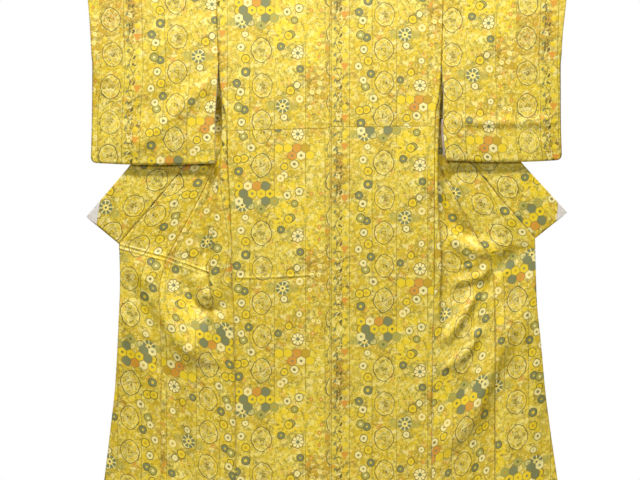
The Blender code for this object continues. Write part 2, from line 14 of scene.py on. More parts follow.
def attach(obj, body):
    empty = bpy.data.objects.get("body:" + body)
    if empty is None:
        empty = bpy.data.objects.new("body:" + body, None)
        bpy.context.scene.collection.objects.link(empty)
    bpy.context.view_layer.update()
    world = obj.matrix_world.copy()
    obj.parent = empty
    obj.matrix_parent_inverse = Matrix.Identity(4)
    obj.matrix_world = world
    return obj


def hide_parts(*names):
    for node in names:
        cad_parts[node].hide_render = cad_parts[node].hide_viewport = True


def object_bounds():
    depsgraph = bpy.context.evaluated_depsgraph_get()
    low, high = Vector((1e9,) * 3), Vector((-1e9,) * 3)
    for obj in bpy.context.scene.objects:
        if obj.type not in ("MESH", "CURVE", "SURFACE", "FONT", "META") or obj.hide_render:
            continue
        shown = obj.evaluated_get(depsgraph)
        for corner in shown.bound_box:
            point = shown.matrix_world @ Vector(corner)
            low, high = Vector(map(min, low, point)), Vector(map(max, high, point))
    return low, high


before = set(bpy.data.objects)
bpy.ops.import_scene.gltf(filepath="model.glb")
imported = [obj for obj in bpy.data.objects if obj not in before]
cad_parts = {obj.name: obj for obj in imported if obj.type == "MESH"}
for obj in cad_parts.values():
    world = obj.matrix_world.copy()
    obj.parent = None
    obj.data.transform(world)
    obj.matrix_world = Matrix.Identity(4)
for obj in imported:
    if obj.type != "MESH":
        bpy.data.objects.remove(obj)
solid_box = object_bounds()


# Body lengths: each half is one cloth about 36 cm wide, cut from a long narrow bolt of printed silk.
# It runs from the back hem over the rod to the front hem, and is lined all over. Back and front are
# sewn together at the side below the armhole, and the front is turned out like a lapel.
WALL = 0.0016
SEAM_GAP = 0.0003
SEWN = 0.00005
ROD_RADIUS = 0.0125
FOLD_RADIUS = (ROD_RADIUS + SEAM_GAP) / math.cos(math.pi / 12) + WALL
ARC_LENGTH = FOLD_RADIUS * math.pi / 2
ARC_ROWS = [ARC_LENGTH * step / 3 for step in range(4)]

NECK_POINT = 0.089
NECK_DROP = 0.045

# The front's lapel: turned cloth at the shoulder, its growth, and where it lies fully over
LAPEL_AT_SHOULDER = (0.0108, -0.0050)
LAPEL_GROWTH = 1.2
LAPEL_TURNED = 0.08
LAPEL_BULGE = 1.3
LAPEL_ROLL = 0.0022
LAYER_STEP = 0.006

# Cloth lengths from the shoulder fold down
ATTACH_DOWN = 0.2526
CURL_TOP = 0.300
SIDE_SEAM_TOP = 0.390
CREASE_DOWN = 0.8226
PLEAT_STEPPED = 0.89
PLEAT_SPREADS = 0.83
PLEAT_SPREAD = 0.95
PLEAT_MERGES = 0.86
PLEAT_MERGED = 1.06
HEM_DOWN = 1.6046

# Free side edge above the side seam: the cloth in its bend, and beyond it; then the width over which
# the soft folds begin beside a seam, and how far the back's edge keeps out of the front's bend
BEND_LENGTH = 0.010
EDGE_STRIP = 0.002
FOLD_FADE = 0.025
BEND_CLEAR = 1.6 * WALL

# Half of the distance between the patterned faces of back and front: height, half
LAYER_HALF = [(-1.60, 0.0045), (-0.80, 0.0052), (-0.50, 0.0062), (-0.37, 0.0070), (-0.25, 0.0085),
              (-0.10, 0.0118), (0.0, FOLD_RADIUS)]
# Depth of the spread front below the crease: cloth length, y
FRONT_DEPTH = [(0.80, 0.0112), (0.90, 0.006), (1.0, 0.002), (1.2, 0.0), (1.6046, 0.0)]

# Each half of the garment: tables of cloth length, out, height or of cloth length, out
HALVES = {
    "left": {
        "sign": -1,
        "side_edge": [(0.0, 0.3080), (0.25, 0.3015), (0.31, 0.2975), (0.39, 0.2820), (0.50, 0.2780),
                      (0.68, 0.2690), (0.82, 0.2650), (1.02, 0.2580), (1.30, 0.2550), (1.61, 0.2550)],
        "outer_fold": [(0.2526, 0.3013), (0.31, 0.2972), (0.35, 0.2945), (0.39, 0.2930), (0.50, 0.2970),
                       (0.63, 0.3080), (0.70, 0.3172), (0.76, 0.3218), (0.8226, 0.3268), (1.61, 0.3268)],
        "inner_fold": [(0.0, 0.1010), (0.20, 0.1180), (0.37, 0.1450), (0.60, 0.2220), (0.8226, 0.2988),
                       (1.61, 0.2988)],
        "front_seam": [(0.0, 0.1117, 0.0200), (0.08, 0.1340, -0.0500), (0.15, 0.1560, -0.1150),
                       (0.27, 0.1950, -0.2280), (0.42, 0.2620, -0.3720), (0.62, 0.3375, -0.5560),
                       (0.79, 0.4227, -0.7174), (0.8226, 0.4391, -0.7487), (0.86, 0.4500, -0.7850),
                       (0.915, 0.4610, -0.8380), (1.0, 0.4590, -0.9230), (1.10, 0.4570, -1.0220),
                       (1.35, 0.4570, -1.2720), (1.6046, 0.4600, -1.5300)],
        "collar_seam": [(0.27, 0.2000, -0.2310), (0.643, 0.4422, -0.5619), (0.8226, 0.5724, -0.7139)],
        "free_edge": [(0.8226, 0.5724, -0.7139), (0.9226, 0.5695, -0.8139), (1.033, 0.5722, -0.9248),
                      (1.198, 0.5806, -1.0897), (1.326, 0.5943, -1.2168), (1.462, 0.6108, -1.3520),
                      (1.6046, 0.6270, -1.4950)],
        "collar_width": [(0.0, 0.055), (0.30, 0.075), (0.50, 0.105), (0.643, 0.117), (0.8226, 0.1157)],
        "collar_tip": (0.6617, -0.6403),
        "tip_legs": (0.056, 0.036),
        "sleeve_outer": [(0.0, 0.6590), (0.08, 0.6530), (0.10, 0.6510), (0.20, 0.6450), (0.27, 0.6430),
                         (0.40, 0.6441), (0.52, 0.6470)],
        "sleeve_inner": [(0.2526, 0.3017), (0.30, 0.3040), (0.36, 0.3083), (0.40, 0.3108), (0.52, 0.3112)],
        "sleeve_bottom": -0.5000,
        "tuck": (-0.4005, -0.0075),
        "print_shift": {"body": (0.330, 0.190), "overlap": (0.060, 0.085), "sleeve": (0.255, 0.060)},
    },
    "right": {
        "sign": 1,
        "side_edge": [(0.0, 0.3080), (0.25, 0.3012), (0.31, 0.2985), (0.39, 0.2855), (0.48, 0.2840),
                      (0.57, 0.2832), (0.68, 0.2826), (0.82, 0.2826), (1.02, 0.2785), (1.30, 0.2758),
                      (1.61, 0.2750)],
        "outer_fold": [(0.2526, 0.3010), (0.31, 0.2986), (0.35, 0.2978), (0.39, 0.2970), (0.48, 0.2935),
                       (0.57, 0.2918), (0.70, 0.2974), (0.79, 0.3018), (0.8226, 0.3015), (1.61, 0.3015)],
        "inner_fold": [(0.0, 0.1010), (0.20, 0.1160), (0.37, 0.1400), (0.60, 0.2050), (0.8226, 0.2697),
                       (1.61, 0.2697)],
        "front_seam": [(0.0, 0.1117, 0.0200), (0.08, 0.1345, -0.0500), (0.15, 0.1545, -0.1160),
                       (0.27, 0.1880, -0.2300), (0.42, 0.2500, -0.3750), (0.60, 0.3164, -0.5408),
                       (0.665, 0.3461, -0.6003), (0.735, 0.3799, -0.6614), (0.80, 0.4137, -0.7203),
                       (0.8226, 0.4250, -0.7380), (0.86, 0.4400, -0.7700), (0.95, 0.4480, -0.8550),
                       (1.10, 0.4475, -1.0050), (1.35, 0.4480, -1.2550), (1.6046, 0.4490, -1.5150)],
        "collar_seam": [(0.27, 0.1930, -0.2330), (0.643, 0.4266, -0.5467), (0.8226, 0.5568, -0.6987)],
        "free_edge": [(0.8226, 0.5568, -0.6987), (0.908, 0.5584, -0.7842), (0.989, 0.5603, -0.8653),
                      (1.114, 0.5716, -0.9897), (1.215, 0.5800, -1.0897), (1.327, 0.5938, -1.2006),
                      (1.48, 0.6157, -1.3520), (1.6046, 0.6354, -1.4845)],
        "collar_width": [(0.0, 0.055), (0.30, 0.075), (0.50, 0.098), (0.643, 0.106), (0.8226, 0.1119)],
        "collar_tip": (0.6441, -0.6287),
        "tip_legs": (0.034, 0.036),
        "sleeve_outer": [(0.0, 0.6419), (0.08, 0.6370), (0.10, 0.6350), (0.20, 0.6260), (0.27, 0.6241),
                         (0.40, 0.6245), (0.52, 0.6275)],
        "sleeve_inner": [(0.2526, 0.3015), (0.30, 0.3040), (0.34, 0.3069), (0.43, 0.3056), (0.48, 0.3090),
                         (0.52, 0.3145)],
        "sleeve_bottom": -0.4925,
        "tuck": (-0.3975, 0.0025),
        "print_shift": {"body": (0.000, 0.000), "overlap": (0.205, 0.300), "sleeve": (0.120, 0.110)},
    },
}

# Soft folds of the spread fronts: height towards the back face, how wide the upper and the lower flank
# is, and the places in X and Z that each runs through. The deepest two lie behind the open slits
# between the sleeves and the body.
FRONT_FOLDS = [
    (0.0160, 0.084, 0.036, (-0.548, -0.735), (-0.503, -0.812), (-0.462, -0.888), (-0.420, -0.960),
     (-0.372, -1.008), (-0.318, -1.040)),
    (0.0060, 0.030, 0.009, (-0.406, -0.985), (-0.365, -1.015), (-0.322, -1.034), (-0.282, -1.018)),
    (-0.0030, 0.016, 0.020, (-0.556, -0.765), (-0.497, -0.868), (-0.455, -0.945), (-0.395, -1.022)),
    (0.0060, 0.026, 0.022, (-0.570, -0.860), (-0.520, -1.000), (-0.400, -1.240)),
    (-0.0060, 0.030, 0.034, (-0.480, -0.960), (-0.400, -1.250), (-0.330, -1.560)),
    (0.0055, 0.026, 0.026, (-0.560, -1.150), (-0.500, -1.580)),
    (0.0040, 0.013, 0.010, (-0.553, -0.850), (-0.524, -0.906), (-0.500, -0.952), (-0.478, -0.995)),
    (-0.0100, 0.011, 0.017, (-0.396, -0.780), (-0.384, -0.845), (-0.345, -0.893), (-0.305, -0.890),
     (-0.270, -0.835)),
    (0.0080, 0.020, 0.020, (-0.352, -0.790), (-0.332, -0.870)),
    (0.0016, 0.012, 0.012, (-0.590, -0.930), (-0.548, -1.190)),
    (0.0030, 0.014, 0.018, (-0.385, -1.080), (-0.345, -1.400)),
    (0.0140, 0.038, 0.022, (0.520, -0.872), (0.494, -0.930), (0.470, -0.992), (0.439, -1.058),
     (0.409, -1.128), (0.382, -1.185), (0.340, -1.235), (0.272, -1.295)),
    (0.0110, 0.020, 0.012, (0.404, -0.838), (0.352, -0.922), (0.296, -0.992)),
    (-0.0040, 0.020, 0.030, (0.505, -0.860), (0.430, -1.200), (0.370, -1.450)),
    (0.0055, 0.026, 0.026, (0.560, -0.960), (0.520, -1.560)),
    (0.0080, 0.016, 0.010, (0.413, -0.928), (0.370, -1.008), (0.325, -1.040), (0.285, -1.056)),
    (0.0080, 0.028, 0.024, (0.306, -0.680), (0.352, -0.715), (0.397, -0.734), (0.452, -0.729),
     (0.505, -0.715)),
    (-0.0180, 0.030, 0.015, (0.296, -0.490), (0.302, -0.570), (0.322, -0.632), (0.360, -0.684),
     (0.420, -0.712)),
    (0.0026, 0.010, 0.010, (0.338, -0.520), (0.368, -0.571), (0.405, -0.640)),
    (0.0080, 0.014, 0.010, (0.436, -0.760), (0.419, -0.796), (0.373, -0.812), (0.322, -0.824)),
    (0.0035, 0.008, 0.007, (0.405, -0.766), (0.350, -0.786)),
    (-0.0045, 0.016, 0.020, (0.560, -0.722), (0.500, -0.738), (0.460, -0.771), (0.438, -0.805),
     (0.414, -0.870)),
    (0.0030, 0.008, 0.008, (0.480, -0.775), (0.452, -0.830)),
    (0.0034, 0.014, 0.014, (0.542, -0.770), (0.530, -0.900), (0.512, -1.040)),
    (-0.0024, 0.014, 0.016, (0.455, -1.120), (0.425, -1.470)),
    (0.0018, 0.012, 0.012, (0.560, -0.560), (0.500, -0.640), (0.470, -0.690)),
    (0.0022, 0.014, 0.016, (-0.395, -0.560), (-0.440, -0.630), (-0.450, -0.700)),
    (-0.0024, 0.012, 0.014, (-0.330, -0.560), (-0.352, -0.640), (-0.362, -0.735)),
    (-0.0180, 0.011, 0.011, (-0.312, -0.485), (-0.323, -0.630), (-0.333, -0.705), (-0.342, -0.800)),
    (-0.0270, 0.015, 0.015, (-0.303, -0.300), (-0.304, -0.400), (-0.306, -0.490), (-0.312, -0.560)),
    (-0.0270, 0.015, 0.015, (0.301, -0.300), (0.301, -0.400), (0.302, -0.480), (0.303, -0.560)),
]
# Creases of the back, in the same form: folded edges of the garment as it lay in store, and soft pulls
# under the arms
BACK_CREASES = [
    (0.0013, 0.0030, 0.0022, (-0.290, -0.806), (-0.150, -0.803), (0.000, -0.794)),
    (-0.0008, 0.0022, 0.0022, (-0.290, -0.813), (-0.150, -0.810), (0.000, -0.801)),
    (0.0006, 0.0030, 0.0022, (0.000, -0.796), (0.270, -0.806)),
    (0.0016, 0.014, 0.014, (-0.285, -0.330), (-0.225, -0.590)),
    (0.0016, 0.014, 0.014, (0.285, -0.340), (0.235, -0.620)),
    (0.0010, 0.014, 0.016, (-0.150, -0.120), (-0.165, -0.372)),
    (0.0010, 0.014, 0.016, (0.165, -0.090), (0.150, -0.368)),
    (0.0014, 0.022, 0.022, (-0.105, -0.560), (-0.130, -0.980)),
    (0.0014, 0.022, 0.022, (0.120, -0.520), (0.135, -1.000)),
    (0.0020, 0.024, 0.024, (-0.190, -0.900), (-0.175, -1.500)),
    (0.0020, 0.024, 0.024, (0.195, -0.880), (0.190, -1.520)),
    (-0.0014, 0.020, 0.020, (-0.050, -1.000), (-0.060, -1.540)),
    (-0.0014, 0.020, 0.020, (0.060, -1.040), (0.068, -1.560)),
]
# Beyond so many of its widths a fold no longer shows
FOLD_REACH = 2.8

# The pressed crease across both fronts: two narrow ridges, one below the other
PRESSED_APART = 0.0110
PRESSED_HEIGHT = 0.0019
PRESSED_WIDTH = 0.0024
PRESSED_ON_RIGHT = 0.2

# The tuck across the back, which takes up spare length: step, its fade below, and the cloth in it
TUCK_STEP = 0.0004
TUCK_FADES = 0.030
TUCK_TAKES = 0.062
TUCK_REACH = 0.10

# Seams: the cloth rolls inwards beside them, less at the centre seam
SEAM_ROLL = 0.0024
SEAM_ROLL_WIDTH = 0.0048
CENTRE_ROLL_SHARE = 0.5

# Unevenness of silk that has hung a while: features to a metre, height; seeds of garment and sleeves
UNEVEN = [(7.0, 0.0011), (19.0, 0.00045), (52.0, 0.00016)]
GARMENT_WAVES = 3.0
SLEEVE_WAVES = 6.0

# Threads across the cloth: places among the solid's own columns, and what each stretch is
COLUMN_STRETCHES = {"turned": (0, 5), "lapel": (5, 9), "inner": (9, 12), "side": (12, 16), "strip": (16, 17)}
COLUMN_STEPS = {"turned": 40, "lapel": 10, "inner": 24, "side": 10, "strip": 4}
# Rows down the cloth: their step, and the least distance of one from a marked row
ROW_STEP = 0.0072
ROWS_APART = 0.0012
# Place of the front seam across the flat cloth, measured like the back from its centre seam
FRONT_CUT_EDGE = 0.050


def cubic(t, width, start, end, before, after):
    """A smooth run between two values, with a slope at each end."""
    return (start * (2 * t ** 3 - 3 * t ** 2 + 1) + end * (3 * t ** 2 - 2 * t ** 3)
            + (before * (t ** 3 - 2 * t ** 2 + t) + after * (t ** 3 - t ** 2)) * width)


def stretch(keys, position):
    """Number of the stretch between two rising keys that holds a position."""
    return min(max(bisect.bisect_right(keys, position) - 1, 0), len(keys) - 2)


def at(table, position):
    """Smooth value of a table at a position: a cubic through its rows, one value or several."""
    keys = [row[0] for row in table]
    position = min(max(position, keys[0]), keys[-1])
    index = stretch(keys, position)
    width = keys[index + 1] - keys[index]
    t = (position - keys[index]) / width
    values = []
    for column in range(1, len(table[0])):
        start = table[index][column]
        end = table[index + 1][column]
        slope = (end - start) / width
        before = slope
        after = slope
        if index > 0:
            left = (start - table[index - 1][column]) / (keys[index] - keys[index - 1])
            before = 0.0 if left * slope <= 0 else 2 * left * slope / (left + slope)
        if index < len(keys) - 2:
            right = (table[index + 2][column] - end) / (keys[index + 2] - keys[index + 1])
            after = 0.0 if right * slope <= 0 else 2 * right * slope / (right + slope)
        values.append(cubic(t, width, start, end, before, after))
    return values[0] if len(values) == 1 else tuple(values)


def ease(low, high, value):
    """0 below low, 1 above high, smooth between."""
    t = min(max((value - low) / (high - low), 0.0), 1.0)
    return t * t * (3 - 2 * t)


def pressed(down, x):
    """Depth of the pressed crease across the fronts, at a cloth length and a place across."""
    below = down - CREASE_DOWN
    first = math.exp(-(below / PRESSED_WIDTH) ** 2)
    second = math.exp(-((below - PRESSED_APART) / PRESSED_WIDTH) ** 2)
    firmness = 0.75 + 0.9 * noise.noise(Vector((x * 13, 4.0, 0.0)))
    kept = 1.0 if x < 0 else PRESSED_ON_RIGHT
    return -PRESSED_HEIGHT * kept * (first * firmness + second * (1.4 - firmness))


def curved(folds):
    """Each fold's path as short straight runs with the upper side's direction, and the box it reaches."""
    ready = []
    for height, upper_width, lower_width, *path in folds:
        table = [(index, *place) for index, place in enumerate(path)]
        last = len(table) - 1
        count = last * 4 if last > 1 else 1
        spots = [Vector(at(table, last * step / count)) for step in range(count + 1)]
        whole = (spots[-1] - spots[0]).normalized()
        upper = Vector((-whole.y, whole.x)) * (1 if whole.x >= 0 else -1)
        length = sum((second - first).length for first, second in zip(spots[:-1], spots[1:]))
        runs = []
        before = 0.0
        for first, second in zip(spots[:-1], spots[1:]):
            run = second - first
            across = Vector((-run.y, run.x)).normalized()
            across *= 1 if across.dot(upper) >= 0 else -1
            runs.append((first.x, first.y, run.x, run.y, run.length_squared, across.x, across.y,
                         before / length, run.length / length))
            before += run.length
        reach = FOLD_REACH * max(upper_width, lower_width)
        box = (min(spot.x for spot in spots) - reach, max(spot.x for spot in spots) + reach,
               min(spot.y for spot in spots) - reach, max(spot.y for spot in spots) + reach)
        ready.append((box, runs, height, upper_width, lower_width))
    return ready


def fold_depth(folds, x, z):
    """How far soft folds push the cloth along Y at a place on the garment."""
    depth = 0.0
    for (low_x, high_x, low_z, high_z), runs, height, upper, lower in folds:
        if not (low_x < x < high_x and low_z < z < high_z):
            continue
        nearest = math.inf
        for start_x, start_z, run_x, run_z, squared, across_x, across_z, before, share in runs:
            off_x = x - start_x
            off_z = z - start_z
            along = min(max((off_x * run_x + off_z * run_z) / squared, 0.0), 1.0)
            away = (off_x - run_x * along) ** 2 + (off_z - run_z * along) ** 2
            if away < nearest:
                nearest = away
                place = before + share * along
                above = off_x * across_x + off_z * across_z > 0
        fade = ease(0.0, 0.22, place) * ease(1.0, 0.78, place)
        depth -= height * fade * math.exp(-nearest / (upper if above else lower) ** 2)
    return depth


def unevenness(x, z, seed):
    """Slight waves of the silk, of three sizes."""
    depth = 0.0
    for index, (per_metre, height) in enumerate(UNEVEN):
        depth += height * noise.noise(Vector((x * per_metre, seed + index * 9.7, z * per_metre * 0.6)))
    return depth


def seam_roll(distance):
    """How far the patterned face sinks beside a seam."""
    return SEAM_ROLL * max(1 - distance / SEAM_ROLL_WIDTH, 0.0) ** 2


FRONT_RUNS = curved(FRONT_FOLDS)
BACK_RUNS = curved(BACK_CREASES)


def fold_kept(half, down, out):
    """Share of the soft folds that a place has: none where the layers of the side pleat lie together."""
    merged = ease(CREASE_DOWN + 0.02, PLEAT_STEPPED, down)
    clear = ease(0.0, FOLD_FADE, out - at(half["outer_fold"], down))
    return max(merged, clear)


def front_fold(half, down, out, z):
    """Depth of a front's soft folds at a place on the body length."""
    return fold_depth(FRONT_RUNS, half["sign"] * out, z) * fold_kept(half, down, out)


def hung(down):
    """Y and Z of the patterned face of cloth that hangs over the rod, by its length from the fold."""
    side = 1 if down > 0 else -1
    length = abs(down)
    if length <= ARC_LENGTH:
        turn = length / FOLD_RADIUS
        return side * FOLD_RADIUS * math.sin(turn), FOLD_RADIUS * math.cos(turn)
    height = ARC_LENGTH - length
    return side * at(LAYER_HALF, height), height


def column_places():
    """The threads across a body length, from its front or centre seam to its side edge."""
    places = [0.012, 0.035, 0.065]
    for name, (first, last) in COLUMN_STRETCHES.items():
        steps = COLUMN_STEPS[name]
        places += [first + (last - first) * step / steps for step in range(steps)]
    return sorted(places) + [17.0]


COLUMNS = column_places()


def side_curl(outer, layer, curl, strip, share, strip_share):
    """The front's side edge, flat at curl 0 and folded round to the back at 1, and where it starts."""
    full_turn = max(math.pi * curl, 0.01)
    radius = (math.pi * layer * curl + BEND_LENGTH * (1 - curl)) / full_turn
    start = outer - radius * math.sin(min(full_turn, math.pi / 2)) - strip * max(math.cos(full_turn), 0.0)
    turn = full_turn * share
    out = start + radius * math.sin(turn) + strip * strip_share * math.cos(full_turn)
    y = layer - radius * (1 - math.cos(turn)) - strip * strip_share * math.sin(full_turn)
    return start, (out, y)


def front_base(half, down):
    """Out, y and height of a body length's front at one cloth length, without its soft folds."""
    y_front, height = hung(down)
    layer = abs(y_front) if down > ARC_LENGTH else FOLD_RADIUS
    edge = at(half["side_edge"], down) - SEWN
    inner = at(half["inner_fold"], down)
    outer = at(half["outer_fold"], down) if down > ATTACH_DOWN else edge
    seam_out, seam_height = at(half["front_seam"], down)
    lapel_radius = LAYER_STEP / 2
    turned_y = layer + LAYER_STEP
    curl = ease(CURL_TOP, SIDE_SEAM_TOP, down)
    strip = outer - layer - edge if curl == 1 else EDGE_STRIP * (1 + abs(math.cos(math.pi * curl)))
    start = side_curl(outer, layer, curl, strip, 0.0, 0.0)[0]

    folded = []
    for place in COLUMNS:
        if place <= 5:
            share = place / 5
            folded.append((seam_out + (inner + lapel_radius - seam_out) * share, turned_y,
                           seam_height + (height - seam_height) * share))
        elif place < 9:
            turn = math.pi * (place - 5) / 4
            folded.append((inner + lapel_radius - lapel_radius * math.sin(turn) * LAPEL_BULGE,
                           layer + lapel_radius + lapel_radius * math.cos(turn), height))
        elif place <= 12:
            share = (place - 9) / 3
            folded.append((inner + lapel_radius + (start - inner - lapel_radius) * share, layer, height))
        else:
            out, y = side_curl(outer, layer, curl, strip, min((place - 12) / 4, 1.0), max(place - 16, 0.0))[1]
            folded.append((out, y, height))

    # below the crease the folds first become one plain step, which then spreads and sinks to one layer
    stepped = ease(CREASE_DOWN, PLEAT_STEPPED, down)
    spread = ease(PLEAT_SPREADS, PLEAT_SPREAD, down)
    merge = ease(PLEAT_MERGES, PLEAT_MERGED, down)
    step_out = outer - layer
    run_lengths = [seam_out - step_out, turned_y + layer, step_out - edge]
    total = sum(run_lengths)
    points = []
    for place, (out, y, z) in zip(COLUMNS, folded):
        if place <= 5:
            share = place / 5
            length = run_lengths[0] * share
            plain = (seam_out + (step_out - seam_out) * share, turned_y)
        elif place <= 16:
            share = (place - 5) / 11
            length = run_lengths[0] + run_lengths[1] * share
            plain = (step_out, turned_y + (-layer - turned_y) * share)
        else:
            share = place - 16
            length = run_lengths[0] + run_lengths[1] + run_lengths[2] * share
            plain = (step_out + (edge - step_out) * share, -layer)
        share = length / total
        out += (plain[0] - out) * stepped
        y += (plain[1] - y) * stepped
        out += (seam_out + (edge - seam_out) * share - out) * spread
        z += (seam_height + (height - seam_height) * share - z) * spread
        y += (at(FRONT_DEPTH, down) * (1 - share) - layer * share - y) * merge
        points.append((out, y, z))
    if down < LAPEL_TURNED:
        points = unrolled(half, down, points, inner, edge)
    return points


def unrolled(half, down, points, inner, edge):
    """Near the shoulder the lapel is still turning over: the row rolls open about its fold."""
    roll = down / LAPEL_TURNED
    angle = math.pi * (1 - roll)
    turn = down / FOLD_RADIUS if down <= ARC_LENGTH else math.pi / 2
    tangent = Vector((0, math.cos(turn), -math.sin(turn)))
    normal = Vector((0, math.sin(turn), math.cos(turn)))
    base = Vector((0, *hung(down)))
    axis = Vector((at(half["inner_fold"], 0.2) - at(half["inner_fold"], 0.0), 0.2)).normalized()
    seam_out, _, seam_height = points[0]
    reach = Vector((seam_out - inner, base.z - seam_height))
    if down <= ARC_LENGTH:
        reach = Vector(LAPEL_AT_SHOULDER) * (1 + LAPEL_GROWTH * roll)
    along = axis * reach.dot(axis)
    across = reach - along
    row = []
    for place, (out, y, z) in zip(COLUMNS, points):
        if place <= 5:
            share = 1 - place / 5
            flat = along * share + across * share * math.cos(angle)
            lift = across.length * share * math.sin(angle) + LAYER_STEP * roll
            offset_out = flat[0] - LAPEL_ROLL * (1 - roll)
            spot = base + tangent * flat[1] + normal * lift
            row.append((inner + offset_out, spot.y, spot.z))
        elif place < 9:
            share = (place - 5) / 4
            flat_out = inner - LAPEL_ROLL + 2 * LAPEL_ROLL * share
            folded_out = inner + LAYER_STEP / 2 * (1 - LAPEL_BULGE * math.sin(math.pi * share))
            lift = LAYER_STEP * (1 - share) * roll
            spot = base + normal * lift
            row.append((flat_out + (folded_out - flat_out) * roll, spot.y, spot.z))
        else:
            share = (place - 9) / 8
            start = inner + LAPEL_ROLL + (LAYER_STEP / 2 - LAPEL_ROLL) * roll
            even = start + (edge - start) * share
            row.append((even + (out - even) * ease(0.0, LAPEL_TURNED, down), base.y, base.z))
    return row


# Where the lapel turns over, rows are drawn smoothly through these cloth lengths
TURNING_ROWS = ARC_ROWS + [0.045, LAPEL_TURNED, 0.11, 0.15]
turning_bases = {name: [front_base(half, down) for down in TURNING_ROWS] for name, half in HALVES.items()}


def front_points(name, down):
    """Points of a body length's front at one cloth length, from its front seam to its side edge."""
    half = HALVES[name]
    if down < TURNING_ROWS[-2]:
        index = stretch(TURNING_ROWS, down)
        rows = turning_bases[name]
        low, high = TURNING_ROWS[index:index + 2]
        width = high - low
        points = []
        for column in range(len(COLUMNS)):
            start = Vector(rows[index][column])
            end = Vector(rows[index + 1][column])
            slope = (end - start) / width
            before = slope
            after = slope
            if index > 0:
                before_width = low - TURNING_ROWS[index - 1]
                earlier = (start - Vector(rows[index - 1][column])) / before_width
                before = (earlier * width + slope * before_width) / (width + before_width)
            if index < len(TURNING_ROWS) - 2:
                after_width = TURNING_ROWS[index + 2] - high
                later = (Vector(rows[index + 2][column]) - end) / after_width
                after = (slope * after_width + later * width) / (width + after_width)
            points.append(cubic((down - low) / width, width, start, end, before, after))
    else:
        points = front_base(half, down)
    return [Vector((half["sign"] * out, y + front_fold(half, down, out, z), z)) for out, y, z in points]


SHOULDER = {name: [abs(point.x) for point in front_points(name, 0.0)] for name in HALVES}


def closer_at_edges(share):
    """Places across a panel that lie closer together beside its seams."""
    return share - math.sin(2 * math.pi * share) * 0.07 if 0 < share < 1 else share


def back_points(name, down, below_tuck):
    """Points of a body length's back at one cloth length, from the centre seam to its side edge."""
    half = HALVES[name]
    y_back, height = hung(-down)
    edge = at(half["side_edge"], down) - SEWN
    if down > ATTACH_DOWN:
        curl = ease(CURL_TOP, SIDE_SEAM_TOP, down)
        edge = abs(front_points(name, down)[-1].x) - SEWN - BEND_CLEAR * math.sin(math.pi * curl)
    centre = SEWN
    if down < NECK_DROP:
        centre = max(centre, NECK_POINT * math.sqrt(1 - (down / NECK_DROP) ** 2))
    shoulder = SHOULDER[name]
    even_share = ease(0.0, 0.20, down)
    tuck_height, tuck_slope = half["tuck"]
    row = []
    for index, above in enumerate(shoulder):
        even = centre + (edge - centre) * closer_at_edges(index / (len(shoulder) - 1))
        share = (above - shoulder[0]) / (shoulder[-1] - shoulder[0])
        hugging = centre + (edge - centre) * share
        out = hugging + (even - hugging) * even_share
        x = half["sign"] * out
        depth = y_back + front_fold(half, down, out, height) + fold_depth(BACK_RUNS, x, height)
        slid = height + tuck_slope * out / edge * math.exp(-((height - tuck_height) / TUCK_REACH) ** 2)
        if down > ARC_LENGTH:
            settled = ease(ARC_LENGTH, 0.12, down)
            depth += unevenness(x, height, GARMENT_WAVES) * settled
            depth += seam_roll(out - centre) * ease(NECK_DROP, NECK_DROP + 0.02, down) * CENTRE_ROLL_SHARE
            depth += seam_roll(edge - out) * ease(0.02, 0.06, down)
        if below_tuck:
            depth += TUCK_STEP * math.exp(-max(tuck_height - height, 0.0) / TUCK_FADES)
        row.append(Vector((x, depth, slid)))
    return row


def lengthwise_rows(start, end, extra=()):
    """Cloth lengths at which a fine panel has a row."""
    count = math.ceil((end - start) / ROW_STEP)
    rows = [start + (end - start) * step / count for step in range(count + 1)]
    kept = [row for row in rows if all(abs(row - other) > ROWS_APART for other in extra)]
    return sorted(kept + list(extra))


CREASE_ROWS = [CREASE_DOWN - 0.0040 + 0.0013 * step for step in range(17)]


def body_cloth(name):
    """Rows of a body length from back hem to front hem, and the flat cloth's coordinates in each."""
    half = HALVES[name]
    tuck_down = ARC_LENGTH - half["tuck"][0]
    neck_rows = [NECK_DROP * math.sin(math.pi / 2 * step / 9) for step in range(5, 10)]
    arc = [ARC_LENGTH * step / 8 for step in range(9)]
    near_tuck = [tuck_down + offset for offset in (-0.004, -0.0015, 0.0015, 0.004)]
    stored = [CREASE_DOWN - 0.008 + 0.0018 * step for step in range(18)]
    downs = lengthwise_rows(NECK_DROP, HEM_DOWN, near_tuck + stored)
    marked = [(down, down > tuck_down) for down in downs if abs(down - tuck_down) > ROWS_APART]
    marked += [(tuck_down, False), (tuck_down + 0.0004, True)]
    marked += [(down, False) for down in neck_rows[:-1] + arc[1:]]
    rows = []
    cloth = []
    for down, below_tuck in sorted(marked, reverse=True):
        row = back_points(name, down, below_tuck)
        rows.append(row)
        taken = TUCK_TAKES if below_tuck else 0.0
        cloth.append([(abs(point.x), -down - taken) for point in row])
    for down in arc[:-1] + lengthwise_rows(ARC_LENGTH, HEM_DOWN, CREASE_ROWS):
        row = front_points(name, down)
        run = [0.0]
        for first, second in zip(row[:-1], row[1:]):
            run.append(run[-1] + (second - first).length)
        from_side = SHOULDER[name][-1] - run[-1]
        cut = ease(0.25, 0.50, down)
        offset = from_side + (FRONT_CUT_EDGE - from_side) * cut
        turned_length = run[COLUMNS.index(5.0)]
        if down > 0:
            settled = ease(0.03, 0.12, down)
            for point, length in zip(row, run):
                flat = seam_roll(length) * ease(0.10, 0.2, down)
                point.y += flat + unevenness(point.x, point.z, GARMENT_WAVES) * settled
                if length < turned_length:
                    point.y += pressed(down, point.x)
        rows.append(row)
        cloth.append([(offset + length, down) for length in run])
    return rows, cloth


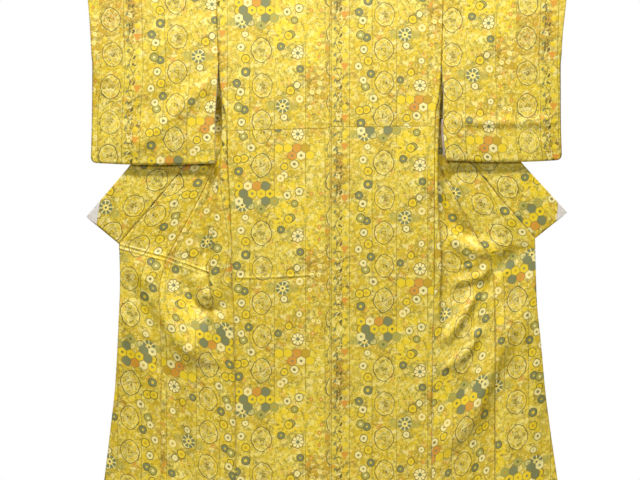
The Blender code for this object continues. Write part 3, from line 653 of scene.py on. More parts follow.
# Printed silk: a fine chintz of rings, hexagons, wheels and pointed ovals in lengthwise bands, dyed on
# the whole bolt before it is cut. So it runs along each cloth, and stops at the seams.
REPEAT_ACROSS = 0.378
REPEAT_ALONG = 0.556
INKS = {
    "ground": (0.690, 0.480, 0.006), "pale_ground": (0.750, 0.562, 0.030), "gold": (0.570, 0.355, 0.003),
    "cream": (0.950, 0.825, 0.290), "straw": (0.930, 0.785, 0.150), "yellow": (0.880, 0.640, 0.005),
    "line": (0.110, 0.085, 0.008), "soft_line": (0.290, 0.230, 0.030), "eye": (0.120, 0.100, 0.015),
    "slate": (0.200, 0.222, 0.078), "sage": (0.430, 0.392, 0.060), "orange": (0.720, 0.310, 0.020),
    "brown": (0.210, 0.110, 0.012),
}
# Kinds of rings: share of all, body, rim, eye
RING_KINDS = [(0.24, "cream", "line", "slate"), (0.14, "slate", "line", "yellow"),
              (0.18, "yellow", "line", "gold"), (0.12, "cream", "gold", "gold"),
              (0.14, "sage", "line", "cream"), (0.18, "cream", "soft_line", "eye")]
BLOSSOM_KINDS = [(0.40, "orange", "gold", "cream"), (0.35, "cream", "yellow", "gold"),
                 (0.25, "yellow", "cream", "orange")]
# Inks of what is dyed by cells: share of all, ink
PETAL_INKS = [(0.24, "straw"), (0.18, "yellow"), (0.16, "gold"), (0.15, "orange"), (0.16, "sage"),
              (0.11, "cream")]
PATCH_INKS = [(0.36, "ground"), (0.30, "pale_ground"), (0.14, "gold"), (0.20, "yellow")]
COOL_HEXAGONS = [(0.27, "slate"), (0.27, "cream"), (0.20, "yellow"), (0.09, "orange"), (0.10, "sage"),
                 (0.07, "gold")]
WARM_HEXAGONS = [(0.30, "yellow"), (0.25, "cream"), (0.15, "orange"), (0.30, "gold")]
HEXAGON_EYES = [(0.45, "eye"), (0.2, "gold"), (0.35, "slate")]
# Lengthwise bands of the print: where each but the first one starts
BAND_STARTS = [0.0545, 0.1135, 0.1795, 0.2640, 0.3165]
# Columns of scattered rings: seed, left edge, width, rows to a repeat, share of cells
RING_COLUMNS = [(1.0, 0.0520, 0.0800, 17, 0.74), (2.0, 0.0560, 0.0740, 14, 0.55),
                (3.0, 0.1780, 0.0880, 15, 0.66), (4.0, 0.1740, 0.0940, 12, 0.50)]
RING_RADIUS = 0.0128
BLOSSOM_RADIUS = 0.0066
BLOSSOM_BAND = (0.266, 0.318)
# Fine lines between the bands: place across, where each starts and ends along the repeat
BAND_LINES = [(0.1135, 0.18, 0.50), (0.1795, 0.02, 0.40), (0.2640, 0.10, 0.55), (0.3165, 0.00, 0.30)]
HEXAGON_PITCH = 0.0240
OVAL_SIZE = (0.0275, 0.0335)
# Leaves of a sprig: how far beside the stem, how high
LEAVES = [(-0.009, 0.012), (0.008, 0.034), (-0.008, 0.052)]


class Shade:
    """A number that a material works out at each place on the cloth."""

    def __init__(self, socket):
        self.tree = socket.id_data
        self.socket = socket

    def step(self, operation, *others, clamp=False):
        node = self.tree.nodes.new("ShaderNodeMath")
        node.operation = operation
        node.use_clamp = clamp
        for socket, value in zip(node.inputs, (self, *others)):
            if isinstance(value, Shade):
                self.tree.links.new(value.socket, socket)
            else:
                socket.default_value = value
        return Shade(node.outputs[0])

    def __add__(self, other):
        return self.step("ADD", other)

    def __sub__(self, other):
        return self.step("SUBTRACT", other)

    def __mul__(self, other):
        return self.step("MULTIPLY", other)

    def size(self):
        return self.step("ABSOLUTE")

    def wrap(self, length):
        """Where a place lies in its repeat, from 0 to the repeat's length."""
        return self.step("WRAP", length, 0.0)

    def whole(self):
        return self.step("FLOOR")

    def below(self, limit):
        return self.step("LESS_THAN", limit)

    def above(self, limit):
        return self.step("GREATER_THAN", limit)

    def between(self, low, high):
        return self.above(low) * self.below(high)

    def risen(self, steepness):
        """0 below zero, then rising to 1."""
        return self.step("MULTIPLY", steepness, clamp=True)

    def inside(self, softness=0.0005):
        """1 where a distance is below zero, with the slightly soft edge of a print."""
        return self.step("MULTIPLY_ADD", -1.0 / softness, 0.5, clamp=True)

    def near(self, width, softness=0.0005):
        """1 within half a width of where a distance is zero: a drawn line."""
        return (self.size() - width / 2).inside(softness)

    def far(self, other):
        """Distance from the origin, of this coordinate and another."""
        return (self * self + other * other).step("SQRT")

    def waves(self, count):
        """Cosine of a turn, with so many waves to the round."""
        return (self * count).step("COSINE")


def split(output, separator="ShaderNodeSeparateXYZ"):
    """The three numbers of a vector, or of a colour."""
    tree = output.id_data
    parts = tree.nodes.new(separator)
    tree.links.new(output, parts.inputs[0])
    return [Shade(part) for part in parts.outputs]


def seeded(across, along, seed, texture):
    """A texture's node, read at a place on the flat cloth with a seed as the third coordinate."""
    tree = across.tree
    node = tree.nodes.new(texture)
    place = tree.nodes.new("ShaderNodeCombineXYZ")
    tree.links.new(across.socket, place.inputs[0])
    tree.links.new(along.socket, place.inputs[1])
    place.inputs[2].default_value = seed
    tree.links.new(place.outputs[0], node.inputs["Vector"])
    return node


def random_numbers(across, along, seed):
    """Three random numbers for each cell of a pattern."""
    dice = seeded(across, along, seed, "ShaderNodeTexWhiteNoise")
    dice.noise_dimensions = "3D"
    return split(dice.outputs["Color"], "ShaderNodeSeparateColor")


def speckle(across, along, per_metre, detail, distortion, seed):
    """Even random waves over the flat cloth, about 0.5."""
    waves = seeded(across, along, seed, "ShaderNodeTexNoise")
    waves.inputs["Scale"].default_value = per_metre
    waves.inputs["Detail"].default_value = detail
    waves.inputs["Distortion"].default_value = distortion
    return Shade(waves.outputs["Fac"])


def inked(colour, *layers):
    """Inks printed over a colour, as pairs of mask, ink; an ink is a name or another colour's socket."""
    for mask, ink in layers:
        tree = mask.tree
        mix = tree.nodes.new("ShaderNodeMix")
        mix.data_type = "RGBA"
        tree.links.new(mask.socket, mix.inputs["Factor"])
        for socket, shade in ((mix.inputs[6], colour), (mix.inputs[7], ink)):
            if isinstance(shade, str):
                socket.default_value = (*INKS[shade], 1)
            else:
                tree.links.new(shade, socket)
        colour = mix.outputs[2]
    return colour


def dice_ink(dice, choices):
    """One of several inks for each cell: rows of share, ink."""
    ramp = dice.tree.nodes.new("ShaderNodeValToRGB")
    ramp.color_ramp.interpolation = "CONSTANT"
    start = 0.0
    for index, (share, ink) in enumerate(choices):
        if index < 2:
            stop = ramp.color_ramp.elements[index]
            stop.position = start
        else:
            stop = ramp.color_ramp.elements.new(start)
        stop.color = (*INKS[ink], 1)
        start += share
    dice.tree.links.new(dice.socket, ramp.inputs[0])
    return ramp.outputs["Color"]


def petals(colour, across, along, per_metre, strength, seed):
    """Small uneven petals in many inks, close together, each with a fine drawn edge."""
    warped = [place + (speckle(across, along, per_metre, 0.0, 0.0, warp_seed) - 0.5) * (1.4 / per_metre)
              for place, warp_seed in ((across, seed), (along, seed + 3.0))]
    cells = seeded(*warped, seed, "ShaderNodeTexVoronoi")
    cells.voronoi_dimensions = "3D"
    cells.inputs["Scale"].default_value = per_metre
    away = Shade(cells.outputs["Distance"])
    dice = split(cells.outputs["Color"], "ShaderNodeSeparateColor")
    body = (away - 0.46).inside(0.16) * (dice[1] * 0.6 + 0.4) * strength
    edge = (away - 0.50).near(0.07, 0.05) * dice[2] * strength
    return inked(colour, (body, dice_ink(dice[0], PETAL_INKS)), (edge, "soft_line"))


def strokes(colour, across, along, per_metre, seed, ink, width, strength):
    """Short curling brush strokes: pieces of the level lines of smooth random waves."""
    curl = speckle(across, along, per_metre, 0.0, 1.1, seed) - 0.5
    piece = speckle(across, along, per_metre * 1.2, 0.0, 0.0, seed + 20.0) - 0.5
    return inked(colour, (curl.near(width, 0.025) * piece.risen(14.0) * strength, ink))


def print_rings(colour, across, along, seed, cell, radius, share, kinds):
    """Scattered rings and discs, one to a cell, with an eye and a fine rim."""
    column = (across * (1 / cell[0])).whole()
    row = (along * (1 / cell[1])).whole()
    dice = random_numbers(column, row, seed)
    x = across - column * cell[0] - cell[0] / 2 + (dice[1] - 0.5) * (cell[0] - 2.1 * radius)
    y = along - row * cell[1] - cell[1] / 2 + (dice[2] - 0.5) * (cell[1] - 2.1 * radius)
    away = x.far(y) + (dice[2] * 10.0).wrap(1.0) * (0.22 * radius)
    away = away + (speckle(across, along, 90.0, 0.0, 0.0, 14.0) - 0.5) * (0.22 * radius)
    shown = dice[0].below(share)
    kind = dice[0] * (1 / share)
    body, rim, eye = [dice_ink(kind, [(row[0], row[place]) for row in kinds]) for place in (1, 2, 3)]
    return inked(colour, ((away - radius).inside() * shown * 0.92, rim),
                 ((away - radius * 0.84).inside() * shown * 0.92, body),
                 ((away - radius * 0.34).inside() * shown * 0.85, eye))


def print_hexagons(colour, across, along, seed, middle, reach, inks):
    """A ragged patch of close hexagons with dark eyes about a middle."""
    pitch = HEXAGON_PITCH
    tall = pitch * math.sqrt(3)
    choices = []
    for offset in (0.0, 0.5):
        column = (across * (1 / pitch) + offset).whole()
        row = (along * (1 / tall) + offset).whole()
        centre_x = (column + (0.5 - offset)) * pitch
        centre_y = (row + (0.5 - offset)) * tall
        x = across - centre_x
        y = along - centre_y
        choices.append((x.far(y), x, y, centre_x, centre_y))
    first_nearer = (choices[0][0] - choices[1][0]).below(0.0)
    away, x, y, centre_x, centre_y = [second + (first - second) * first_nearer
                                      for first, second in zip(*choices)]
    edge = x.size().step("MAXIMUM", x.size() * 0.5 + y.size() * (math.sqrt(3) / 2))
    from_middle = ((centre_x - middle[0]) * (1 / reach[0])).far((centre_y - middle[1]) * (1 / reach[1]))
    ragged = speckle(centre_x, centre_y, 27.0, 0.0, 0.0, seed) * 1.6 + 0.2
    dice = random_numbers(centre_x, centre_y, seed)
    shown = (from_middle - ragged).below(0.0) * dice[2].below(0.92)
    return inked(colour, ((edge - pitch * 0.50).inside() * shown * 0.7, "line"),
                 ((edge - pitch * 0.46).inside() * shown * 0.95, dice_ink(dice[0], inks)),
                 ((away - pitch * 0.15).inside() * shown * dice[0].above(0.30) * 0.85,
                  dice_ink(dice[1], HEXAGON_EYES)))


def print_ovals(colour, across, along, centre, start, seed):
    """A column of pointed ovals with a drawn outline, strokes and a small flower inside."""
    pitch = REPEAT_ALONG / 6
    half_width, half_height = OVAL_SIZE
    radius = (half_height ** 2 + half_width ** 2) / (2 * half_width)
    place = along - start
    dice = random_numbers(across * 0.0 + centre, (place.wrap(REPEAT_ALONG) * (1 / pitch)).whole(), seed)
    x = across - centre + (dice[0] - 0.5) * 0.006
    y = place.wrap(pitch) - pitch / 2 + (dice[1] - 0.5) * 0.008
    wobble = (speckle(across, along, 60.0, 1.0, 0.0, 11.0) - 0.5) * 0.008
    away = (x.size() + (radius - half_width)).far(y) - radius + wobble + dice[2] * 0.0025
    drawn = strokes(colour, across, along, 52.0, seed, "straw", 0.110, 0.75)
    drawn = strokes(drawn, across, along, 56.0, seed + 1.0, "line", 0.070, 0.55)
    turn = x.step("ARCTAN2", y)
    petal = x.far(y) - 0.0125 - turn.waves(5.0) * 0.0040 + wobble
    heart = x.far(y * 1.4) - 0.0050 - (turn * 3.0 + dice[1] * 6.0).waves(1.0) * 0.0026 + wobble
    return inked(colour, (away.inside(), drawn), (petal.near(0.0050) * 0.50, "cream"),
                 (petal.near(0.0016) * 0.55, "line"), (heart.near(0.0030) * 0.80, "line"),
                 ((away + 0.0030).near(0.0022, 0.0010) * 0.35, "cream"),
                 (away.near(0.0026, 0.0010) * (dice[0] * 0.5 + 0.5), "line"))


def flower_place(across, along, centre, start, pitch):
    """Coordinates from the middle of a flower in a column, with distance and turn."""
    x = across - centre
    y = (along - start).wrap(pitch) - pitch / 2
    return x, y, x.far(y), x.step("ARCTAN2", y)


def print_wheels(colour, across, along, centre, start):
    """One spoked wheel to a repeat, with a pale flower in it, on a soft green patch."""
    x, y, away, turn = flower_place(across, along, centre, start, REPEAT_ALONG)
    patch = (y.size() - 0.0105).inside(0.002) * (x.size() - 0.040).inside(0.002)
    wheel = (away - 0.0180).inside()
    return inked(colour, (patch * 0.55, "sage"), (wheel, "slate"),
                 (wheel * (turn.waves(8.0) - 0.72).above(0.0), "cream"), ((away - 0.0088).inside(), "yellow"),
                 ((away - 0.0064 - turn.waves(8.0) * 0.0016).inside(), "cream"),
                 ((away - 0.0032).inside(), "eye"))


def print_rosettes(colour, across, along, centre, start):
    """Two rosettes to a repeat, with a scalloped edge and eight thin spokes."""
    away, turn = flower_place(across, along, centre, start, REPEAT_ALONG / 2)[2:]
    scallops = turn.waves(4.0).size() * 0.0022
    return inked(colour, ((away - 0.0158 - scallops).inside(), "brown"),
                 ((away - 0.0138 - scallops).inside(), "cream"),
                 ((away - 0.0142).inside() * turn.waves(8.0).below(-0.86), "brown"),
                 ((away - 0.0048).inside(), "slate"))


def print_sprigs(colour, across, along, left, right):
    """The narrow band: fine border lines, a winding stem with leaves, and orange buds."""
    middle = (left + right) / 2
    cell = REPEAT_ALONG / 8
    y = along.wrap(cell)
    within = across.between(left, right)
    stem = across - middle + 0.007 + (along * (2 * math.pi / cell)).step("SINE") * 0.006
    colour = inked(colour, (stem.near(0.0017) * within * 0.8, "line"))
    for lean, height in LEAVES:
        beside = across - (middle - 0.007 + lean)
        leaf = (beside * 0.55 + (y - height) * 0.8).far(beside * 1.7 - (y - height) * 1.1) - 0.0056
        colour = inked(colour, (leaf.inside() * within, "line" if lean > 0 else "slate"))
    bud_x = (across - (middle + 0.011)).size()
    bud_y = y - 0.022
    bud = (bud_x * 0.87 - bud_y * 0.5).step("MAXIMUM", bud_y) - 0.0066
    odd = (along * (0.5 / cell)).wrap(1.0).below(0.5)
    patch = (across - (middle + 0.012)).far(y - 0.050) - 0.0070
    colour = inked(colour, (bud.inside() * odd, "orange"), (patch.inside() * 0.8, "yellow"))
    scribbled = strokes(colour, across, along, 58.0, 31.0, "line", 0.150, 0.85)
    scribbled = strokes(scribbled, across, along, 46.0, 32.0, "cream", 0.120, 0.80)
    return inked(colour, (across.between(middle - 0.012, middle + 0.004), scribbled),
                 *[((across - border).near(0.0013, 0.0007) * 0.75, "line") for border in (left, right)])


def silk_print(across, along):
    """The whole repeat, from the flat cloth's own coordinates; returns the colour's socket."""
    across = across.wrap(REPEAT_ACROSS)
    along = along.wrap(REPEAT_ALONG)
    band = across * 0.0
    for start in BAND_STARTS:
        band = band + across.above(start)
    drift = speckle(across, along, 13.0, 2.0, 0.4, 8.0)
    crumbs = speckle(across, along, 120.0, 1.0, 0.6, 4.0)
    patch = random_numbers(band, (along * (4 / REPEAT_ALONG) + band * 0.37).whole(), 9.0)
    colour = inked(dice_ink(patch[0], PATCH_INKS), ((drift - 0.50).risen(5.0) * 0.55, "gold"),
                   ((drift * -1.0 + 0.48).risen(6.0) * 0.55, "yellow"))
    colour = petals(colour, across, along, 58.0, 0.75, 1.0)
    colour = inked(colour, ((crumbs - 0.60).risen(14.0) * 0.55, "straw"))
    for per_metre, seed, ink, width, strength in ((50.0, 6.0, "cream", 0.110, patch[1] * 0.45 + 0.20),
                                                  (62.0, 7.0, "soft_line", 0.120, patch[2] * 0.4 + 0.35),
                                                  (78.0, 8.0, "straw", 0.130, 0.65),
                                                  (68.0, 9.0, "line", 0.095, patch[1] * 0.35 + 0.30)):
        colour = strokes(colour, across, along, per_metre, seed, ink, width, strength)

    colour = print_ovals(colour, across, along, 0.1465, 0.020, 21.0)
    colour = print_ovals(colour, across, along, 0.3475, 0.066, 22.0)
    colour = print_sprigs(colour, across, along, 0.0040, 0.0530)
    for seed, left, width, rows, share in RING_COLUMNS:
        ringed = print_rings(colour, across - left, along, seed, (width, REPEAT_ALONG / rows),
                             RING_RADIUS, share, RING_KINDS)
        colour = inked(colour, (across.between(left + 0.001, left + width - 0.001), ringed))
    colour = print_wheels(colour, across, along, 0.2020, 0.105)
    colour = print_wheels(colour, across, along, 0.0930, 0.330)
    colour = print_rosettes(colour, across, along, 0.2430, 0.385)
    ringed = print_rings(colour, across - BLOSSOM_BAND[0], along, 5.0, (0.0260, REPEAT_ALONG / 18),
                         BLOSSOM_RADIUS, 0.50, BLOSSOM_KINDS)
    colour = inked(colour, (across.between(*BLOSSOM_BAND), ringed),
                   *[((across - border).near(0.0015, 0.0008) * along.between(start, end) * 0.6, "line")
                     for border, start, end in BAND_LINES])
    colour = print_hexagons(colour, across, along, 17.0, (0.120, 0.075), (0.070, 0.034), COOL_HEXAGONS)
    return print_hexagons(colour, across, along, 6.0, (0.235, 0.200), (0.050, 0.020), WARM_HEXAGONS)


def bumped(shader, height, distance):
    """Relief that a surface shows only close to."""
    tree = height.tree
    bump = tree.nodes.new("ShaderNodeBump")
    bump.inputs["Distance"].default_value = distance
    tree.links.new(height.socket, bump.inputs["Height"])
    tree.links.new(bump.outputs[0], shader.inputs["Normal"])


def weave(across, along, pitch):
    """Height of a plain weave: warp and weft threads over and under each other."""
    return (across * (2 * math.pi / pitch)).step("SINE") * (along * (2 * math.pi / pitch)).step("SINE")


def new_material(name, values):
    """A material with values on its shader's sockets: itself, its node tree and its shader."""
    material = bpy.data.materials.new(name)
    material.use_nodes = True
    shader = material.node_tree.nodes["Principled BSDF"]
    for label, value in values.items():
        shader.inputs[label].default_value = value
    return material, material.node_tree, shader


def fabric(name, roughness, sheen, specular=0.35):
    """A cloth material with its shader and the flat cloth's coordinates."""
    material, tree, shader = new_material(name, {
        "Roughness": roughness, "Sheen Weight": sheen, "Sheen Roughness": 0.35,
        "Sheen Tint": (1.0, 0.92, 0.66, 1), "Specular IOR Level": specular})
    cloth = tree.nodes.new("ShaderNodeUVMap")
    cloth.uv_map = "print"
    across, along, _ = split(cloth.outputs[0])
    return material, tree, shader, across, along


def printed_silk():
    """Satin-faced silk with the print, a crepe surface and slightly uneven gloss."""
    material, tree, shader, across, along = fabric("printed_silk", 0.48, 0.12, 0.80)
    shader.inputs["Specular Tint"].default_value = (1.0, 0.90, 0.60, 1)
    tree.links.new(silk_print(across, along), shader.inputs["Base Color"])
    crepe = speckle(across, along, 900.0, 2.0, 0.0, 2.0)
    bumped(shader, crepe * 0.7 + weave(across, along, 0.0009) * 0.3, 0.00025)
    gloss = speckle(across, along, 30.0, 2.0, 0.0, 5.0)
    tree.links.new((gloss * 0.18 + 0.34).socket, shader.inputs["Roughness"])
    return material


def plain_silk(name, colour, darker):
    """Soft plain lining silk, a little uneven in colour."""
    material, tree, shader, across, along = fabric(name, 0.55, 0.2)
    INKS[name] = colour
    INKS[name + "_worn"] = darker
    drift = speckle(across, along, 12.0, 3.0, 0.0, 7.0)
    shade = inked(name, ((drift - 0.40).risen(4.0), name + "_worn"))
    tree.links.new(shade, shader.inputs["Base Color"])
    bumped(shader, weave(across, along, 0.0011), 0.0002)
    return material


SILK = printed_silk()
LINING = plain_silk("cream_lining", (0.800, 0.750, 0.610), (0.740, 0.680, 0.530))
HEM_LINING = plain_silk("mauve_lining", (0.430, 0.335, 0.250), (0.390, 0.295, 0.215))
SHELL = 0.0013
laid = {}


def placed(name, data):
    """A new piece, light or camera in the scene."""
    thing = bpy.data.objects.new(name, data)
    bpy.context.scene.collection.objects.link(thing)
    return thing


def made_plain(piece):
    """The piece's modifiers become a part of its mesh."""
    mesh = bpy.data.meshes.new_from_object(piece.evaluated_get(bpy.context.evaluated_depsgraph_get()))
    piece.modifiers.clear()
    piece.data = mesh


def lay_cloth(name, node, rows, cloth, flip, shift, sign, lined_below=None, weld=False):
    """A thin cloth over a grid of patterned points, its print laid by the flat cloth's coordinates."""
    mesh = bpy.data.meshes.new(name)
    shape = bmesh.new()
    print_map = shape.loops.layers.uv.new("print")
    width = len(rows[0])
    grid = [[shape.verts.new(point) for point in row] for row in rows]
    for index in range(len(rows) - 1):
        for column in range(width - 1):
            spots = [(index, column), (index + 1, column), (index + 1, column + 1), (index, column + 1)]
            if flip:
                spots.reverse()
            face = shape.faces.new([grid[row][place] for row, place in spots])
            face.smooth = True
            for loop, (row, place) in zip(face.loops, spots):
                across, along = cloth[row][place]
                loop[print_map].uv = (sign * across + shift[0], along + shift[1])
    if weld:
        bmesh.ops.remove_doubles(shape, verts=shape.verts[:], dist=0.00005)
    shape.to_mesh(mesh)
    shape.free()
    piece = placed(name, mesh)
    mesh.materials.append(SILK)
    mesh.materials.append(LINING)
    thickness = piece.modifiers.new("wall", "SOLIDIFY")
    thickness.thickness = SHELL
    thickness.offset = -1.0
    thickness.material_offset = 1
    thickness.material_offset_rim = 0
    if lined_below is not None:
        lower_the_lining(piece, lined_below)
    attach(piece, "root")
    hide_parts(node)
    laid[name] = (rows, -1 if flip else 1)
    return piece


def lower_the_lining(piece, height):
    """Inside, the lower part of the garment has the hem lining."""
    made_plain(piece)
    piece.data.materials.append(HEM_LINING)
    for polygon in piece.data.polygons:
        if polygon.material_index == 1 and polygon.center.z < height:
            polygon.material_index = 2


HEM_LINING_TOP = -1.02
for half_name, half_cut in HALVES.items():
    body_rows, body_flat = body_cloth(half_name)
    body = lay_cloth("body_cloth_" + half_name, "body_" + half_name, body_rows, body_flat,
                     half_cut["sign"] > 0, half_cut["print_shift"]["body"], half_cut["sign"], HEM_LINING_TOP)


# Overlap panels: a narrow cloth sewn to each front edge below the collar's bend, 15 cm wide before
# sewing. Its slanted top edge is sewn into the collar, and its free edge hangs to the hem.
# Cloth lengths where the collar passes to the panel, and where the panel's first row lies under it
OVERLAP_TOP = 0.270
OVERLAP_FIRST_ROW = 0.31
OVERLAP_COLUMNS = 26


def front_seam_place(name, down):
    """The body length's front edge, its depth without the soft folds, and the share of them it has."""
    inner = front_points(name, down)[0]
    kept = fold_kept(HALVES[name], down, abs(inner.x))
    return inner, inner.y - fold_depth(FRONT_RUNS, inner.x, inner.z) * kept, kept


def overlap_cloth(name):
    """Rows of the overlap panel, from below the collar's bend to the front hem."""
    half = HALVES[name]
    rows = []
    cloth = []
    for down in lengthwise_rows(OVERLAP_FIRST_ROW, HEM_DOWN, CREASE_ROWS):
        inner, base_y, kept = front_seam_place(name, down)
        out, z = at(half["collar_seam" if down <= CREASE_DOWN else "free_edge"], down)
        run = Vector((half["sign"] * out - inner.x, 0, z - inner.z))
        side = run.normalized()
        first = inner + side * SEWN
        width = run.length - 2 * SEWN
        row = []
        flat = []
        for step in range(OVERLAP_COLUMNS + 1):
            share = closer_at_edges(step / OVERLAP_COLUMNS)
            place = first + side * width * share
            freed = kept + (1 - kept) * ease(0.0, FOLD_FADE, width * share)
            y = base_y + fold_depth(FRONT_RUNS, place.x, place.z) * freed
            y += (seam_roll(width * share) + unevenness(place.x, place.z, GARMENT_WAVES)
                  + pressed(down, place.x))
            if down <= CREASE_DOWN:
                y += seam_roll(width * (1 - share))
            row.append(Vector((place.x, y, place.z)))
            flat.append((width * share, down))
        rows.append(row)
        cloth.append(flat)
    return rows, cloth


for half_name, half_cut in HALVES.items():
    overlap_rows, overlap_flat = overlap_cloth(half_name)
    overlap = lay_cloth("overlap_cloth_" + half_name, "overlap_" + half_name, overlap_rows, overlap_flat,
                        half_cut["sign"] < 0, half_cut["print_shift"]["overlap"], -half_cut["sign"],
                        HEM_LINING_TOP)


# Collar: one long strip, folded double in real life, sewn round the neck and down both fronts to
# the tips. It stands at the neck, lies over at the shoulders and is cut off slantwise at the tips.
COLLAR_AT_NECK = 0.055
COLLAR_COLUMNS = 18
COLLAR_ROW_STEP = 0.0055
COLLAR_TIP_ROWS = 10
COLLAR_LIES_FLAT = (0.20, 0.35)
COLLAR_PRINT_SHIFT = (0.110, 0.240)
# Which way the standing collar leans, by cloth length: out, to the front, up
COLLAR_LEAN = [(-NECK_DROP, 0.0, -0.15, 0.99), (-0.022, 0.08, -0.08, 0.99), (0.0, 0.28, 0.16, 0.95),
               (0.03, 0.45, 0.42, 0.79), (0.08, 0.68, 0.20, 0.71), (0.15, 0.75, 0.0, 0.66),
               (0.27, 0.77, 0.0, 0.64), (0.35, 0.79, 0.0, 0.61)]
COLLAR_ROWS = [0.045, 0.08, 0.11, 0.15, 0.20, 0.2526, 0.27, 0.31, 0.33, 0.35, 0.39, 0.44, 0.50, 0.56, 0.62,
               0.68, 0.73, 0.770, 0.8226]


def collar_seam_place(name, down):
    """The seam under the collar at one cloth length: the neck's edge, the front's, then the overlap's."""
    half = HALVES[name]
    if down < 0:
        return back_points(name, -down, False)[0]
    if down <= OVERLAP_TOP:
        return front_points(name, down)[0]
    out, z = at(half["collar_seam"], down)
    return Vector((half["sign"] * out, front_seam_place(name, down)[1], z))


def collar_table(name):
    """Seam places and outer edge of one half of the collar, as rows to draw a smooth strip through."""
    half = HALVES[name]
    sign = half["sign"]
    neck = [-NECK_DROP * math.cos(math.pi / 2 * step / 6) for step in range(1, 6)]
    downs = neck + [0.0] + ARC_ROWS[1:] + COLLAR_ROWS
    places = [(down, collar_seam_place(name, down)) for down in downs]
    table = [(0.0, 0.0, *hung(-NECK_DROP), *(Vector(COLLAR_LEAN[0][1:]).normalized() * COLLAR_AT_NECK))]
    length = 0.0
    last_place = Vector((0.0, *hung(-NECK_DROP)))
    for index, (down, place) in enumerate(places):
        before = places[max(index - 1, 0)][1]
        after = places[min(index + 1, len(places) - 1)][1]
        run = (after - before).normalized()
        if down < COLLAR_LEAN[-1][0]:
            lean = Vector(at(COLLAR_LEAN, down))
            side = Vector((sign * lean.x, lean.y, lean.z)).normalized()
        else:
            side = Vector((-sign * run.z, 0, sign * run.x)).normalized()
        if down == CREASE_DOWN:
            tip = Vector((sign * half["collar_tip"][0], place.y, half["collar_tip"][1]))
            side = (tip - place).normalized()
        length += (place - last_place).length
        last_place = place
        table.append((length, *place, *(side * at(half["collar_width"], max(down, 0.0)))))
    return table


def cut_tip(name):
    """One half's collar table, both corners of its slanted cut, and the tip that it would have uncut."""
    along_leg, end_leg = HALVES[name]["tip_legs"]
    table = collar_table(name)
    straight = at(table, table[-1][0] - along_leg)
    finish = at(table, table[-1][0])
    end = Vector(finish[:3])
    end_side = Vector(finish[3:])
    cut_outer = Vector(straight[:3]) + Vector(straight[3:])
    return table, cut_outer, end + end_side * (1 - end_leg / end_side.length), end + end_side


def collar_half(name):
    """Fine rows of one half of the collar, from the back neck to the tip, with its cut corner."""
    along_leg = HALVES[name]["tip_legs"][0]
    table, cut_outer, end_outer, _ = cut_tip(name)
    cut_from = table[-1][0] - along_leg
    count = math.ceil(cut_from / COLLAR_ROW_STEP)
    stops = [cut_from * step / count for step in range(count + 1)]
    stops += [cut_from + along_leg * step / COLLAR_TIP_ROWS for step in range(1, COLLAR_TIP_ROWS + 1)]
    rows = []
    cloth = []
    for stop in stops:
        values = at(table, stop)
        place = Vector(values[:3])
        outer = place + Vector(values[3:])
        if stop > cut_from:
            outer = cut_outer.lerp(end_outer, (stop - cut_from) / along_leg)
        side = outer - place
        first = place + side.normalized() * SEWN
        width = side.length - SEWN
        lies_flat = ease(*COLLAR_LIES_FLAT, stop)
        row = []
        flat = []
        for step in range(COLLAR_COLUMNS + 1):
            share = closer_at_edges(step / COLLAR_COLUMNS)
            spot = first + side.normalized() * width * share
            spot.y += (unevenness(spot.x, spot.z, GARMENT_WAVES) * lies_flat
                       + seam_roll(width * share) * lies_flat)
            spot.y += fold_depth(FRONT_RUNS, spot.x, spot.z) * lies_flat
            row.append(spot)
            flat.append((width * share, stop))
        rows.append(row)
        cloth.append(flat)
    return rows, cloth


left_rows, left_flat = collar_half("left")
right_rows, right_flat = collar_half("right")
collar_rows = left_rows[::-1] + right_rows[1:]
collar_flat = [[(across, -along) for across, along in row] for row in left_flat[::-1]] + right_flat[1:]
collar = lay_cloth("collar_cloth", "collar", collar_rows, collar_flat, False, COLLAR_PRINT_SHIFT, 1)


# Collar tips: at both ends the collar's inner lining, plain pale silk, fills the cut corner.
TIP_GAP = 0.0004
TIP_STEPS = 12
TIP_BLUNT = 0.96
for half_name, half_cut in HALVES.items():
    corner, end_corner, tip_point = cut_tip(half_name)[1:]
    cut = (end_corner - corner).normalized()
    away = (tip_point - corner) - cut * (tip_point - corner).dot(cut)
    away = away.normalized() * TIP_GAP
    tip_rows = []
    tip_flat = []
    for row_step in range(TIP_STEPS + 1):
        row_share = row_step / TIP_STEPS * TIP_BLUNT
        from_end = (end_corner + away).lerp(tip_point, row_share)
        from_corner = (corner + away).lerp(tip_point, row_share)
        tip_row = [from_end.lerp(from_corner, step / TIP_STEPS) for step in range(TIP_STEPS + 1)]
        for spot in tip_row:
            spot.y += unevenness(spot.x, spot.z, GARMENT_WAVES) + fold_depth(FRONT_RUNS, spot.x, spot.z)
        tip_rows.append(tip_row)
        tip_flat.append([(spot.x, spot.z) for spot in tip_row])
    tip_name = "collar_tip_" + half_name
    collar_tip = lay_cloth(tip_name, "collar_tip_lining_" + half_name, tip_rows, tip_flat,
                           half_cut["sign"] < 0, (0.0, 0.0), 1)
    collar_tip.data.materials.clear()
    collar_tip.data.materials.append(LINING)


